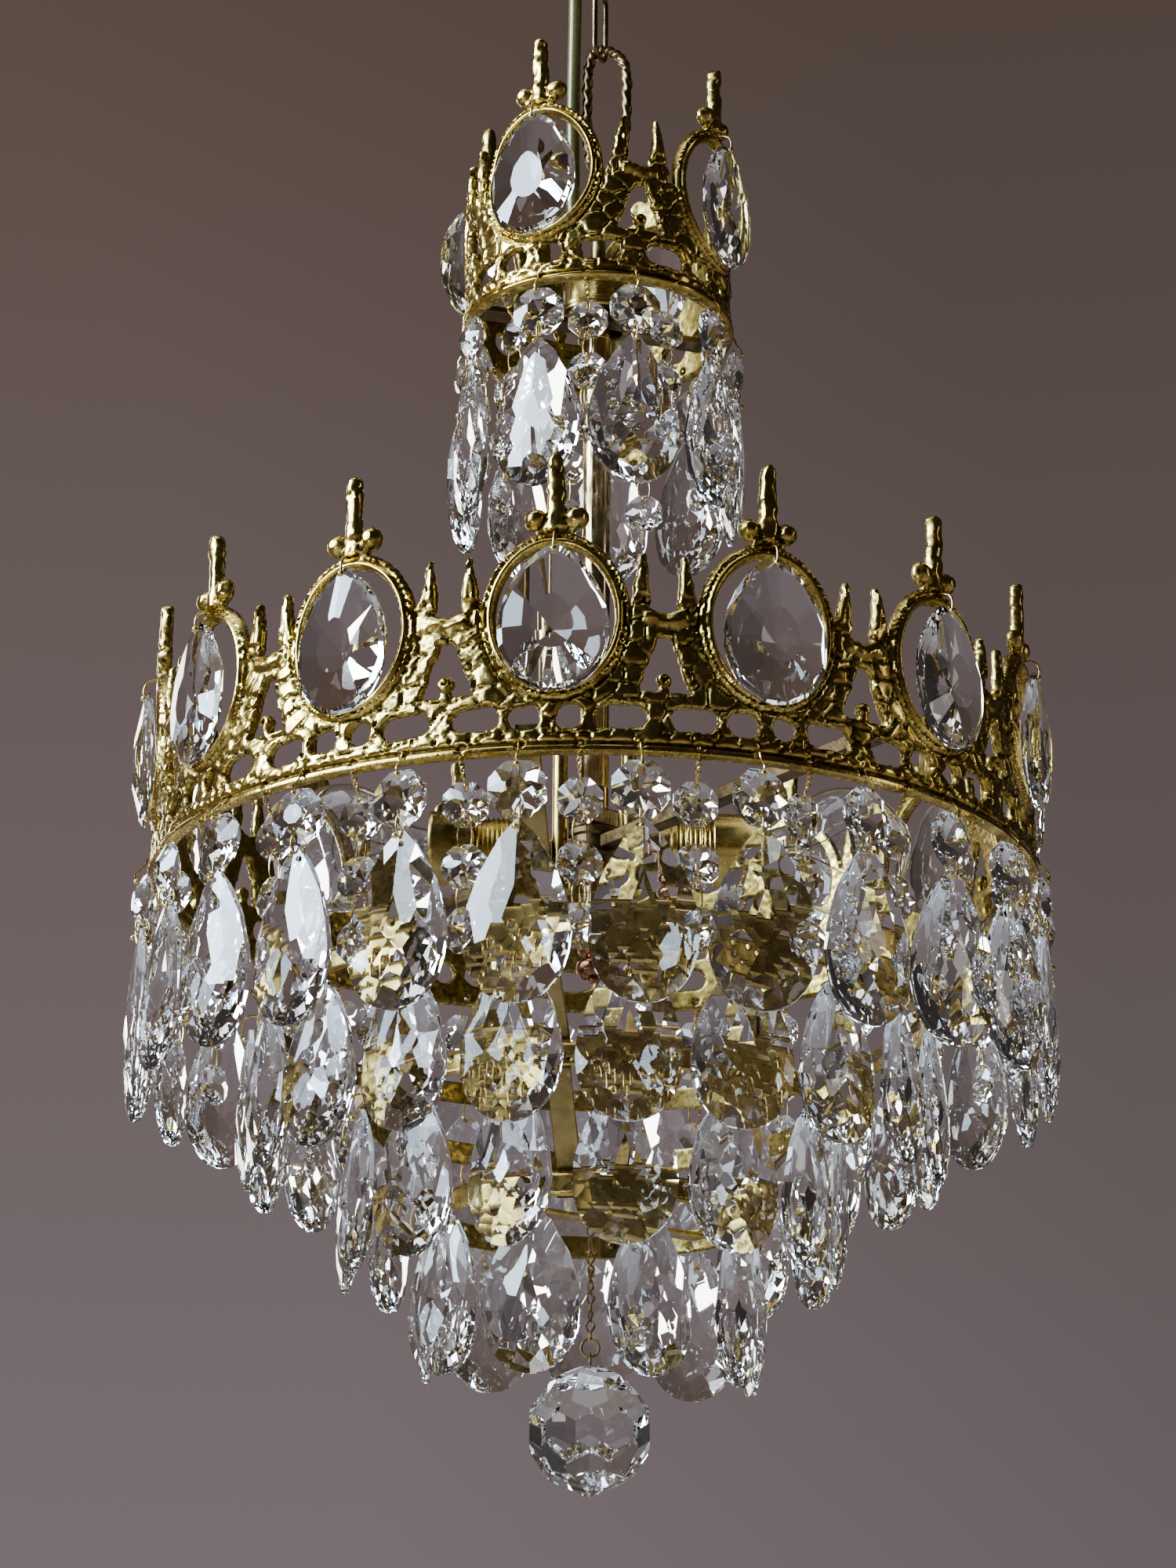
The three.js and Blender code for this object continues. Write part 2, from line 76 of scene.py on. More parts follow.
# A row of strands is its radius, its count and the azimuth of its first strand.
LOWER = {"radius": 150.0, "base": 0.0, "modules": 14, "phase": -4.8,
         "long": (154.0, 26, 5.2), "short": (146.0, 26, -1.7)}
UPPER = {"radius": 46.6, "base": 214.5, "modules": 4, "phase": -27.0,
         "long": (49.8, 9, 15.2), "short": (41.8, 9, -4.8)}
TIERS = [  # band radius, top, foot, drops' radius, count, azimuth of the first drop
    (113.0, -40.0, -48.0, 114.5, 20, 5.6),
    (79.6, -71.0, -79.0, 80.8, 14, 7.4),
    (53.0, -107.0, -115.0, 54.0, 9, 20.0),
]
HOLE_Z = 3.0  # the wire holes in a rim
LINK_TURN = 66.0


# ---- shapes ----
class Shape:
    """Points in millimetres, and faces as one list of corners with each face's count."""

    def __init__(self, points, faces=None, corners=None, counts=None):
        self.points = np.asarray(points, float).reshape(-1, 3)
        if faces is not None:
            counts = [len(f) for f in faces]
            corners = [i for f in faces for i in f]
        self.corners = np.asarray(corners, np.int32)
        self.counts = np.asarray(counts, np.int32)

    def starts(self):
        return np.concatenate([[0], np.cumsum(self.counts)[:-1]])

    def corner_places(self):
        """Where the corners of all the triangles are in the list, then of all the quads, and so on."""
        for count in np.unique(self.counts):
            yield self.starts()[self.counts == count][:, None] + np.arange(count)

    def with_points(self, points):
        return Shape(points, corners=self.corners, counts=self.counts)

    def turned(self, axis, degrees):
        m = np.array(Matrix.Rotation(radians(degrees), 3, axis))
        return self.with_points(self.points @ m.T)

    def moved(self, x=0.0, y=0.0, z=0.0):
        return self.with_points(self.points + np.array([x, y, z], float))

    def flipped(self):
        corners = self.corners.copy()
        for at in self.corner_places():
            corners[at] = self.corners[at][:, ::-1]
        return Shape(self.points, corners=corners, counts=self.counts)

    def facing_out(self):
        """Flips the faces if they point inwards."""
        volume = 0.0
        for at in self.corner_places():
            p = self.points[self.corners[at]]
            for k in range(1, at.shape[1] - 1):
                volume += np.einsum("ij,ij->i", p[:, 0], np.cross(p[:, k], p[:, k + 1])).sum()
        return self if volume >= 0 else self.flipped()


def joined(shapes):
    offsets = np.cumsum([0] + [len(s.points) for s in shapes[:-1]])
    return Shape(
        np.concatenate([s.points for s in shapes]),
        corners=np.concatenate([s.corners + o for s, o in zip(shapes, offsets)]),
        counts=np.concatenate([s.counts for s in shapes]),
    )


def piece(name, shape, material, stands_for=None, smooth=None, body="chandelier",
          fields=None):
    """Makes a mesh object from a shape and rides it on a body. smooth is the angle that stays sharp."""
    mesh = bpy.data.meshes.new(name)
    points = shape.points * MM + np.array([0, 0, RIM])
    mesh.vertices.add(len(points))
    mesh.vertices.foreach_set("co", points.astype(np.float32).ravel())
    mesh.loops.add(len(shape.corners))
    mesh.loops.foreach_set("vertex_index", shape.corners)
    mesh.polygons.add(len(shape.counts))
    mesh.polygons.foreach_set("loop_start", shape.starts().astype(np.int32))
    mesh.polygons.foreach_set("use_smooth", np.full(len(shape.counts), smooth is not None))
    mesh.update(calc_edges=True)
    mesh.validate()
    if smooth is not None:
        mesh.set_sharp_from_angle(angle=radians(smooth))
    for field, values in (fields or {}).items():
        attribute = mesh.attributes.new(field, "FLOAT", "POINT")
        attribute.data.foreach_set("value", values.astype(np.float32))
    mesh.materials.append(material)
    made = bpy.data.objects.new(name, mesh)
    scene.collection.objects.link(made)
    if body is not None:
        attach(made, body)
    if stands_for:
        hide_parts(stands_for)
    return made


def lathe(profile, around, closed=False):
    """Turns [radius, height] points about Z. A radius of 0 closes an end."""
    turn = np.arange(around) * TAU / around
    points, rows = [], []
    for r, z in profile:
        rows.append([len(points)] if r == 0 else list(range(len(points), len(points) + around)))
        points += [(0, 0, z)] if r == 0 else [(r * cos(t), r * sin(t), z) for t in turn]
    faces = []
    for a, b in list(zip(rows, rows[1:])) + ([(rows[-1], rows[0])] if closed else []):
        for i in range(around):
            j = (i + 1) % around
            face = [a[i % len(a)], a[j % len(a)], b[j % len(b)], b[i % len(b)]]
            faces.append(list(dict.fromkeys(face)))
    if not closed:
        faces += [row for row in (rows[0][::-1], rows[-1]) if len(row) > 1]
    return Shape(points, faces).facing_out()


def arc(r, z, radius, start, end, steps):
    """Profile points on an arc about [r, z]; 0 degrees points out and 90 up."""
    return [
        (r + radius * cos(radians(a)), z + radius * sin(radians(a)))
        for a in np.linspace(start, end, steps + 1)
    ]


def spline(points, each, closed=False):
    """A Catmull-Rom curve through points."""
    p = np.asarray(points, float)
    ends = [p[-1:], p, p[:2]] if closed else [2 * p[:1] - p[1:2], p, 2 * p[-1:] - p[-2:-1]]
    p = np.concatenate(ends)
    t = np.arange(each)[:, None] / each
    out = []
    for a, b, c, d in zip(p, p[1:], p[2:], p[3:]):
        out.append(0.5 * (2 * b + (c - a) * t + (2 * a - 5 * b + 4 * c - d) * t**2
                          + (3 * b - a - 3 * c + d) * t**3))
    return np.concatenate(out + ([] if closed else [p[-2:-1]]))


def sweep(path, radius, sides, closed=False):
    """A tube along a path. radius is a number, or a function of the share along and the angle."""
    path = np.asarray(path, float)
    m = len(path)
    tangent = np.roll(path, -1, 0) - np.roll(path, 1, 0) if closed else np.gradient(path, axis=0)
    tangent /= np.linalg.norm(tangent, axis=1)[:, None]
    start = np.cross(tangent[0], [0.3, 0.2, 1.0] if abs(tangent[0][2]) < 0.8 else [1.0, 0.1, 0.2])
    normals = [start / np.linalg.norm(start)]
    for k in range(1, m + (1 if closed else 0)):
        v = normals[-1] - tangent[k % m] * np.dot(normals[-1], tangent[k % m])
        normals.append(v / np.linalg.norm(v))
    twist = 0.0
    if closed:
        last, first = normals.pop(), normals[0]
        twist = atan2(np.dot(np.cross(last, first), tangent[0]), np.dot(last, first))
    normal = np.array(normals)
    side = np.cross(tangent, normal)
    share = np.arange(m) / (m if closed else m - 1)
    angle = np.arange(sides)[None] * TAU / sides + (twist * share)[:, None]
    r = radius(share[:, None], angle) if callable(radius) else np.array([[float(radius)]])
    ring = normal[:, None] * np.cos(angle)[..., None] + side[:, None] * np.sin(angle)[..., None]
    points = path[:, None] + ring * np.broadcast_to(r, (m, sides))[..., None]
    at = np.arange(m * sides).reshape(m, sides)
    a = at if closed else at[:-1]
    b = np.roll(at, -1, 0) if closed else at[1:]
    faces = np.stack([a, np.roll(a, -1, 1), np.roll(b, -1, 1), b], -1).reshape(-1, 4).tolist()
    if not closed:
        faces += [at[0][::-1].tolist(), at[-1].tolist()]
    return Shape(points, faces).facing_out()


def ring(radius, wire, z=0.0, upright=0.0, tall=None, steps=28, sides=8):
    """A wire ring in the XZ plane, turned upright degrees about Z, tall millimetres high in all."""
    turn = np.arange(steps) * TAU / steps
    high = radius if tall is None else tall / 2
    path = np.stack([radius * np.cos(turn), 0 * turn, high * np.sin(turn)], 1)
    return sweep(path, wire, sides, closed=True).turned("Z", upright).moved(z=z)


def convex(planes, size):
    """The solid inside planes, each a direction n and a number d: its points have n.p < d."""
    bm = bmesh.new()
    bmesh.ops.create_cube(bm, size=size)
    for normal, distance in planes:
        n = Vector(normal)
        reach = n.length
        n /= reach
        everything = bm.verts[:] + bm.edges[:] + bm.faces[:]
        cut = bmesh.ops.bisect_plane(bm, geom=everything, dist=1e-4, plane_co=n * (distance / reach),
                                     plane_no=n, clear_outer=True)
        edges = [e for e in cut["geom_cut"] if isinstance(e, bmesh.types.BMEdge) and e.is_boundary]
        if edges:
            bmesh.ops.edgeloop_fill(bm, edges=edges)
    bmesh.ops.remove_doubles(bm, verts=bm.verts[:], dist=0.01)
    bmesh.ops.recalc_face_normals(bm, faces=bm.faces[:])
    bm.verts.index_update()
    made = Shape([v.co[:] for v in bm.verts], [[v.index for v in f.verts] for f in bm.faces])
    bm.free()
    return made.facing_out()


def bar(length, width, height, chamfer):
    """A bar along X with chamfered edges."""
    half = [length / 2, width / 2, height / 2]
    planes = []
    for axis in range(3):
        for sign in (-1, 1):
            n = [0.0, 0.0, 0.0]
            n[axis] = sign
            planes.append((n, half[axis]))
            other = (axis + 1) % 3
            for also in (-1, 1):
                m = list(n)
                m[other] = also
                planes.append((m, half[axis] + half[other] - chamfer))
    return convex(planes, 2 * length)


def placed(shape, azimuth, radius, z, yaw=0.0, tilt=0.0):
    """Takes a shape that faces -Y at the origin to its place on a ring."""
    shape = shape.turned("X", tilt).turned("Z", yaw) if yaw or tilt else shape
    a = radians(azimuth)
    return shape.turned("Z", azimuth).moved(radius * sin(a), -radius * cos(a), z)


def azimuths(count, phase):
    return [phase + i * 360 / count for i in range(count)]


# ---- materials ----
def new_material(name):
    made = bpy.data.materials.new(name)
    made.use_nodes = True
    tree = made.node_tree
    return made, tree, tree.nodes["Principled BSDF"]


def fill(tree, made, inputs):
    """Links a node's input to a socket, or sets it to a constant."""
    for key, value in inputs.items():
        if isinstance(value, bpy.types.NodeSocket):
            tree.links.new(value, made.inputs[key])
        else:
            made.inputs[key].default_value = value


def node(tree, kind, inputs, **settings):
    made = tree.nodes.new("ShaderNode" + kind)
    for key, value in settings.items():
        setattr(made, key, value)
    fill(tree, made, inputs)
    return made.outputs


def sums(tree, operation, *values, **settings):
    return node(tree, "Math", dict(enumerate(values)), operation=operation, **settings)[0]


def noise(tree, scale, detail=4.0, stretch=None):
    at = node(tree, "TexCoord", {})["Object"]
    if stretch:
        at = node(tree, "Mapping", {"Vector": at, "Scale": stretch})["Vector"]
    return node(tree, "TexNoise", {"Vector": at, "Scale": scale, "Detail": detail})["Fac"]


def spread(tree, value, low=0.0, high=1.0, from_low=0.35, from_high=0.65):
    return node(tree, "MapRange", {"Value": value, "From Min": from_low, "From Max": from_high,
                                   "To Min": low, "To Max": high})["Result"]


def mix_colour(tree, share, a, b):
    """a and b are each a socket or a colour; the mix node keeps its colours in inputs 6 and 7."""
    a, b = [v if isinstance(v, bpy.types.NodeSocket) else (*v, 1) for v in (a, b)]
    return node(tree, "Mix", {0: share, 6: a, 7: b}, data_type="RGBA")[2]


def metal(name, light, dark, rough, grain, bump, tarnish_and_shade_tone=None, stretch=None, specks=(-0.35, 0.2)):
    """Brass and its kin: two tones of metal, a fine grain, and a dark tone from the mesh's attribute:
    tarnish in the relief's creases and painted shade on its back faces.
    """
    made, tree, shader = new_material(name)
    colour = mix_colour(tree, spread(tree, noise(tree, 90.0, 5.0)), light, dark)
    roughness = spread(tree, noise(tree, 260.0, 6.0), *rough)
    if tarnish_and_shade_tone:
        # this attribute darkens the metal: tarnish in the relief's creases, and painted shade on its back
        # faces
        tarnish_and_shade = node(tree, "Attribute", {}, attribute_name="tarnish_and_shade")["Fac"]
        flecks = spread(tree, noise(tree, 520.0, 6.0), *specks)
        share = sums(tree, "ADD", tarnish_and_shade, flecks, use_clamp=True)
        colour = mix_colour(tree, share, colour, tarnish_and_shade_tone)
        roughness = sums(tree, "MULTIPLY_ADD", share, 0.35, roughness)
    height = noise(tree, grain, 5.0, stretch)
    bumped = node(tree, "Bump", {"Height": height, "Strength": bump, "Distance": 0.0004})["Normal"]
    fill(tree, shader, {"Base Color": colour, "Roughness": roughness, "Metallic": 1.0, "Normal": bumped})
    return made


def clear(name, tint, ior, rough):
    """Glass with faint smears."""
    made, tree, shader = new_material(name)
    smear = noise(tree, 70.0, 5.0)
    colour = mix_colour(tree, spread(tree, smear), tint, (1, 1, 1))
    roughness = spread(tree, smear, *rough, 0.5, 0.8)
    fill(tree, shader, {"Base Color": colour, "Roughness": roughness, "IOR": ior,
                        "Transmission Weight": 1.0})
    return made


cast_brass = metal("cast_brass", (0.74, 0.57, 0.20), (0.50, 0.35, 0.10), (0.13, 0.26), 1500.0, 0.06,
                   tarnish_and_shade_tone=(0.022, 0.014, 0.006))
sheet_brass = metal("sheet_brass", (0.60, 0.45, 0.17), (0.40, 0.29, 0.10), (0.22, 0.34), 1200.0, 0.03,
                    tarnish_and_shade_tone=(0.05, 0.035, 0.015), specks=(-0.8, 0.0))
stem_brass = metal("stem_brass", (0.70, 0.55, 0.32), (0.52, 0.38, 0.20), (0.12, 0.28), 700.0, 0.08,
                   stretch=(1.0, 1.0, 0.08))
# painted shade: a darker copy of the sheet brass, for the straps that run inside the basket
shaded_strap_brass = metal("shaded_strap_brass", (0.36, 0.26, 0.11), (0.20, 0.14, 0.05), (0.2, 0.38), 1200.0, 0.12)
dark_brass = metal("dark_brass", (0.26, 0.18, 0.09), (0.13, 0.085, 0.045), (0.28, 0.5), 900.0, 0.25)
wire_brass = metal("wire_brass", (0.80, 0.62, 0.28), (0.62, 0.44, 0.17), (0.16, 0.32), 2200.0, 0.1)
chain_brass = metal("chain_brass", (0.42, 0.31, 0.15), (0.16, 0.11, 0.05), (0.25, 0.45), 1500.0, 0.2)
copper = metal("copper", (0.42, 0.23, 0.12), (0.26, 0.13, 0.07), (0.15, 0.32), 900.0, 0.1)
crystal_glass = clear("crystal_glass", (0.965, 0.98, 1.0), 1.56, (0.0, 0.004))
lamp_glass = clear("lamp_glass", (0.97, 0.985, 1.0), 1.46, (0.0, 0.03))
tungsten = metal("tungsten", (0.20, 0.19, 0.18), (0.12, 0.11, 0.10), (0.35, 0.5), 3000.0, 0.1)

sheath, tree, shader = new_material("olive_sheath")
mottle = spread(tree, noise(tree, 60.0, 5.0, (1.0, 1.0, 0.35)))
fill(tree, shader, {
    "Base Color": mix_colour(tree, mottle, (0.085, 0.078, 0.026), (0.15, 0.135, 0.055)),
    "Roughness": spread(tree, noise(tree, 300.0), 0.16, 0.32),
    "Coat Weight": 0.5, "Subsurface Weight": 0.25, "Subsurface Scale": 0.002,
})

# ---- camera ----
camera = bpy.data.objects.new("camera", bpy.data.cameras.new("camera"))
scene.collection.objects.link(camera)
camera.data.lens = 76.374
camera.data.sensor_width = 36.0
camera.data.clip_start = 0.05
camera.data.clip_end = 150.0
stance = Matrix.Translation((0, -1.0995, RIM - 0.3363))
for degrees, axis in ((0.117, "Z"), (109.0, "X"), (0.47, "Z")):
    stance = stance @ Matrix.Rotation(radians(degrees), 4, axis)
camera.matrix_world = stance
scene.camera = camera

# ---- flex ----
FLEX_X = -9.4
FLEX_RADIUS = 2.5
FLEX_TOP = PLATE_FOOT - 0.3
FLEX_FOOT = CAP_TOP + 0.4
FLEX_SPLIT = 373.0  # level with the middle of the upper link, which both halves follow there
flex_line = spline([(-9.8, 0, FLEX_TOP), (-9.8, 0, 400), (-9.6, -0.1, 385), (-9.5, -0.3, 365),
    (-9.6, -0.5, 345), (-9.8, -0.6, 325), (-9.9, -0.5, 305), (-9.7, -0.3, 285), (-9.5, -0.1, 268),
    (FLEX_X, 0, 252), (FLEX_X, 0, FLEX_FOOT)], 10)
upper_line = flex_line[flex_line[:, 2] > FLEX_SPLIT - 1.2]
lower_line = flex_line[flex_line[:, 2] <= FLEX_SPLIT + 1.2]
join_point = (upper_line[-1] + lower_line[0]) / 2
upper_line = np.vstack([upper_line[upper_line[:, 2] > join_point[2] + 0.2], join_point])
lower_line = np.vstack([join_point, lower_line[lower_line[:, 2] < join_point[2] - 0.2]])


def flex_part(name, line, stands_for=None):
    """line goes up from where the part leaves body_a."""
    tube = sweep(line, FLEX_RADIUS, 20)
    made = piece(name, tube, sheath, stands_for, 50, None)
    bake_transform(made)


flex_part("flex_lower", lower_line[::-1], "flex")
flex_part("flex_upper", upper_line[::-1])


# ---- reliefs bent round the axis ----
# A grid cell's polygons for each set of its corners that are inside. 0 to 3 are the corners, 4 to 7 the
# places where the outline crosses the sides between them.
CELL_POLYGONS = {1: ["047"], 2: ["154"], 3: ["0157"], 4: ["265"], 5: ["047", "265"], 6: ["1264"],
                 7: ["01267"], 8: ["376"], 9: ["0463"], 10: ["154", "376"], 11: ["01563"], 12: ["2375"],
                 13: ["04523"], 14: ["12374"], 15: ["0123"]}


def relief(radius, base, low, high, cell, field):
    """A closed casting bent round the axis. field gives, over arc length and height: how far inside the
    outline a point is, the front and back surfaces' heights there, and how dark the front is. The back
    faces get painted shade."""
    across = int(round(TAU * radius / cell))
    up = int(round((high - low) / cell)) + 1
    n = across * up
    step_u, step_z = TAU * radius / across, (high - low) / (up - 1)
    u, z = np.meshgrid(np.arange(across) * TAU * radius / across, np.linspace(low, high, up))
    inside, front, back, tarnish_and_shade = field(u, z)

    def right(grid):
        return np.roll(grid, -1, 1)

    def above(grid):
        return np.vstack([grid[1:], grid[-1:]])

    def crossing(other, du, dz):
        share = unit(inside / np.where(np.abs(inside - other) < 1e-9, 1e-9, inside - other))
        return u + du * share, z + dz * share

    solid = inside > 0
    corner = [solid, right(solid), right(above(solid)), above(solid)]
    code = sum(c.astype(int) << k for k, c in enumerate(corner))[:-1]
    ids = np.arange(n).reshape(up, across)
    here, beside, over = ids[:-1], right(ids)[:-1], ids[1:]
    slots = [here, beside, right(ids)[1:], over, n + here, 2 * n + beside, n + over, 2 * n + here]
    corners, counts = [], []
    for case, polygons in CELL_POLYGONS.items():
        for polygon in polygons:
            block = np.stack([slots[int(k)][code == case] for k in polygon], 1)
            corners.append(block.ravel())
            counts.append(np.full(len(block), len(polygon)))
    corners, counts = np.concatenate(corners), np.concatenate(counts)
    across_u, across_z = crossing(right(inside), step_u, 0)
    up_u, up_z = crossing(above(inside), 0, step_z)
    all_u = np.concatenate([u.ravel(), across_u.ravel(), up_u.ravel()])
    all_z = np.concatenate([z.ravel(), across_z.ravel(), up_z.ravel()])
    zeros = np.zeros(2 * n)

    def bend(height):
        r = radius + np.concatenate([height.ravel(), zeros])
        return np.stack([r * np.sin(all_u / radius), -r * np.cos(all_u / radius), base + all_z], 1)

    points = np.concatenate([bend(front), bend(back)[:n]])
    other = Shape(points, corners=corners, counts=counts).flipped().corners
    other = np.where(other < n, other + 3 * n, other)
    used, packed = np.unique(np.concatenate([corners, other]), return_inverse=True)
    # the dark tone: the front's from field, 0.3 on the outline points, and 0.6 on the back faces, which
    # face the inside, as painted shade
    values = np.concatenate([tarnish_and_shade.ravel(), zeros + 0.3, np.full(n, 0.6)])[used]
    return Shape(points[used], corners=packed, counts=np.concatenate([counts, counts])), values


FIELD_LOW, FIELD_HIGH = -6, 134  # the heights that the noises below are made for


def value_noise(u, z, girth, size, seed):
    """Smooth noise from -1 to 1 that closes round the girth."""
    wide = max(3, int(round(girth / size)))
    tall = int((FIELD_HIGH - FIELD_LOW) / size) + 3
    grid = np.random.default_rng(seed).uniform(-1, 1, (tall, wide))
    x, y = u / girth * wide, (z - FIELD_LOW) / size
    i, j = np.floor(x).astype(int), np.floor(y).astype(int)
    fx, fy = x - i, y - j
    fx, fy = fx * fx * (3 - 2 * fx), fy * fy * (3 - 2 * fy)

    def level(b):
        row = np.clip(b, 0, tall - 1)
        return grid[row, i % wide] * (1 - fx) + grid[row, (i + 1) % wide] * fx

    return level(j) * (1 - fy) + level(j + 1) * fy


def plates(u, z, girth, wide_size, tall_size, seed):
    """Distance to the nearest of scattered points, and how much farther the next one is: 0 on a crease."""
    wide = int(round(girth / wide_size))
    tall = int((FIELD_HIGH - FIELD_LOW) / tall_size) + 4
    jitter = np.random.default_rng(seed).uniform(0.1, 0.9, (tall, wide, 2))
    x, y = u / girth * wide, (z - FIELD_LOW) / tall_size
    i, j = np.floor(x).astype(int), np.floor(y).astype(int)
    near, next_near = np.full(u.shape, 9.0), np.full(u.shape, 9.0)
    for dj in (-1, 0, 1):
        for di in (-1, 0, 1):
            b, a = np.clip(j + dj, 0, tall - 1), (i + di) % wide
            d = np.hypot(i + di + jitter[b, a, 0] - x, j + dj + jitter[b, a, 1] - y)
            next_near = np.minimum(next_near, np.maximum(near, d))
            near = np.minimum(near, d)
    return near, next_near - near


def unit(values):
    return np.clip(values, 0, 1)


def least(*values):
    return np.minimum.reduce(values)


def bump(s, centre, half):
    """A half round from 0 up to 1."""
    return np.sqrt(unit(1 - ((s - centre) / half) ** 2))


def rounded(inside, width):
    """Rises from 0 at the outline to 1 at a width inside it."""
    return np.sqrt(1 - (1 - unit(inside / width)) ** 2)


def from_places(u, radius, count, phase, offset=0.0):
    """Distance round the girth from the nearest of evenly spaced places."""
    step = TAU * radius / count
    return ((u - radians(phase) * radius + offset * step + step / 2) % step) - step / 2


def oval_distance(x, y, a, b):
    """About how far inside an ellipse a point is, in millimetres."""
    f = np.sqrt((x / a) ** 2 + (y / b) ** 2) + 1e-6
    slope = np.sqrt((x / a**2) ** 2 + (y / b**2) ** 2) / f + 1e-6
    return (1 - f) / slope


def limb_distance(x, y, start, end, r0, r1):
    """How far inside a straight limb with round ends a point is."""
    dx, dy = end[0] - start[0], end[1] - start[1]
    t = unit(((x - start[0]) * dx + (y - start[1]) * dy) / (dx * dx + dy * dy))
    return r0 + (r1 - r0) * t - np.hypot(x - start[0] - t * dx, y - start[1] - t * dy)


def soft_max(a, b, k=0.5):
    h = unit(0.5 + 0.5 * (a - b) / k)
    return b + (a - b) * h + k * h * (1 - h)


def local_mean(values, reach):
    """A box average that wraps round the girth."""
    wide = 2 * reach + 1
    values = sum(np.roll(values, k - reach, 1) for k in range(wide)) / wide
    padded = np.pad(values, ((reach, reach), (0, 0)), mode="edge")
    return sum(padded[k:k + len(values)] for k in range(wide)) / wide


CROWN_FOOT, CROWN_TOP = -1.4, 101.0
OVAL_LEVEL, OVAL_OPENING, OVAL_OUTSIDE = 45, (18.4, 22.9), (23.4, 28.3)
BALL_OUT, BALL_LEVEL = 6.2, 77.6
NUB_LEVEL = 24.4
SLOTS, SLOT_END, SLOT_PITCH = ((-24.4, 7.3), (-9.3, 5.2), (4.5, 4.0), (20.2, 7.9)), 3.9, 67.3
SKIRT_FOOT, RIM_TOP = 5.2, 4.7
HOLE_RADIUS = 0.85


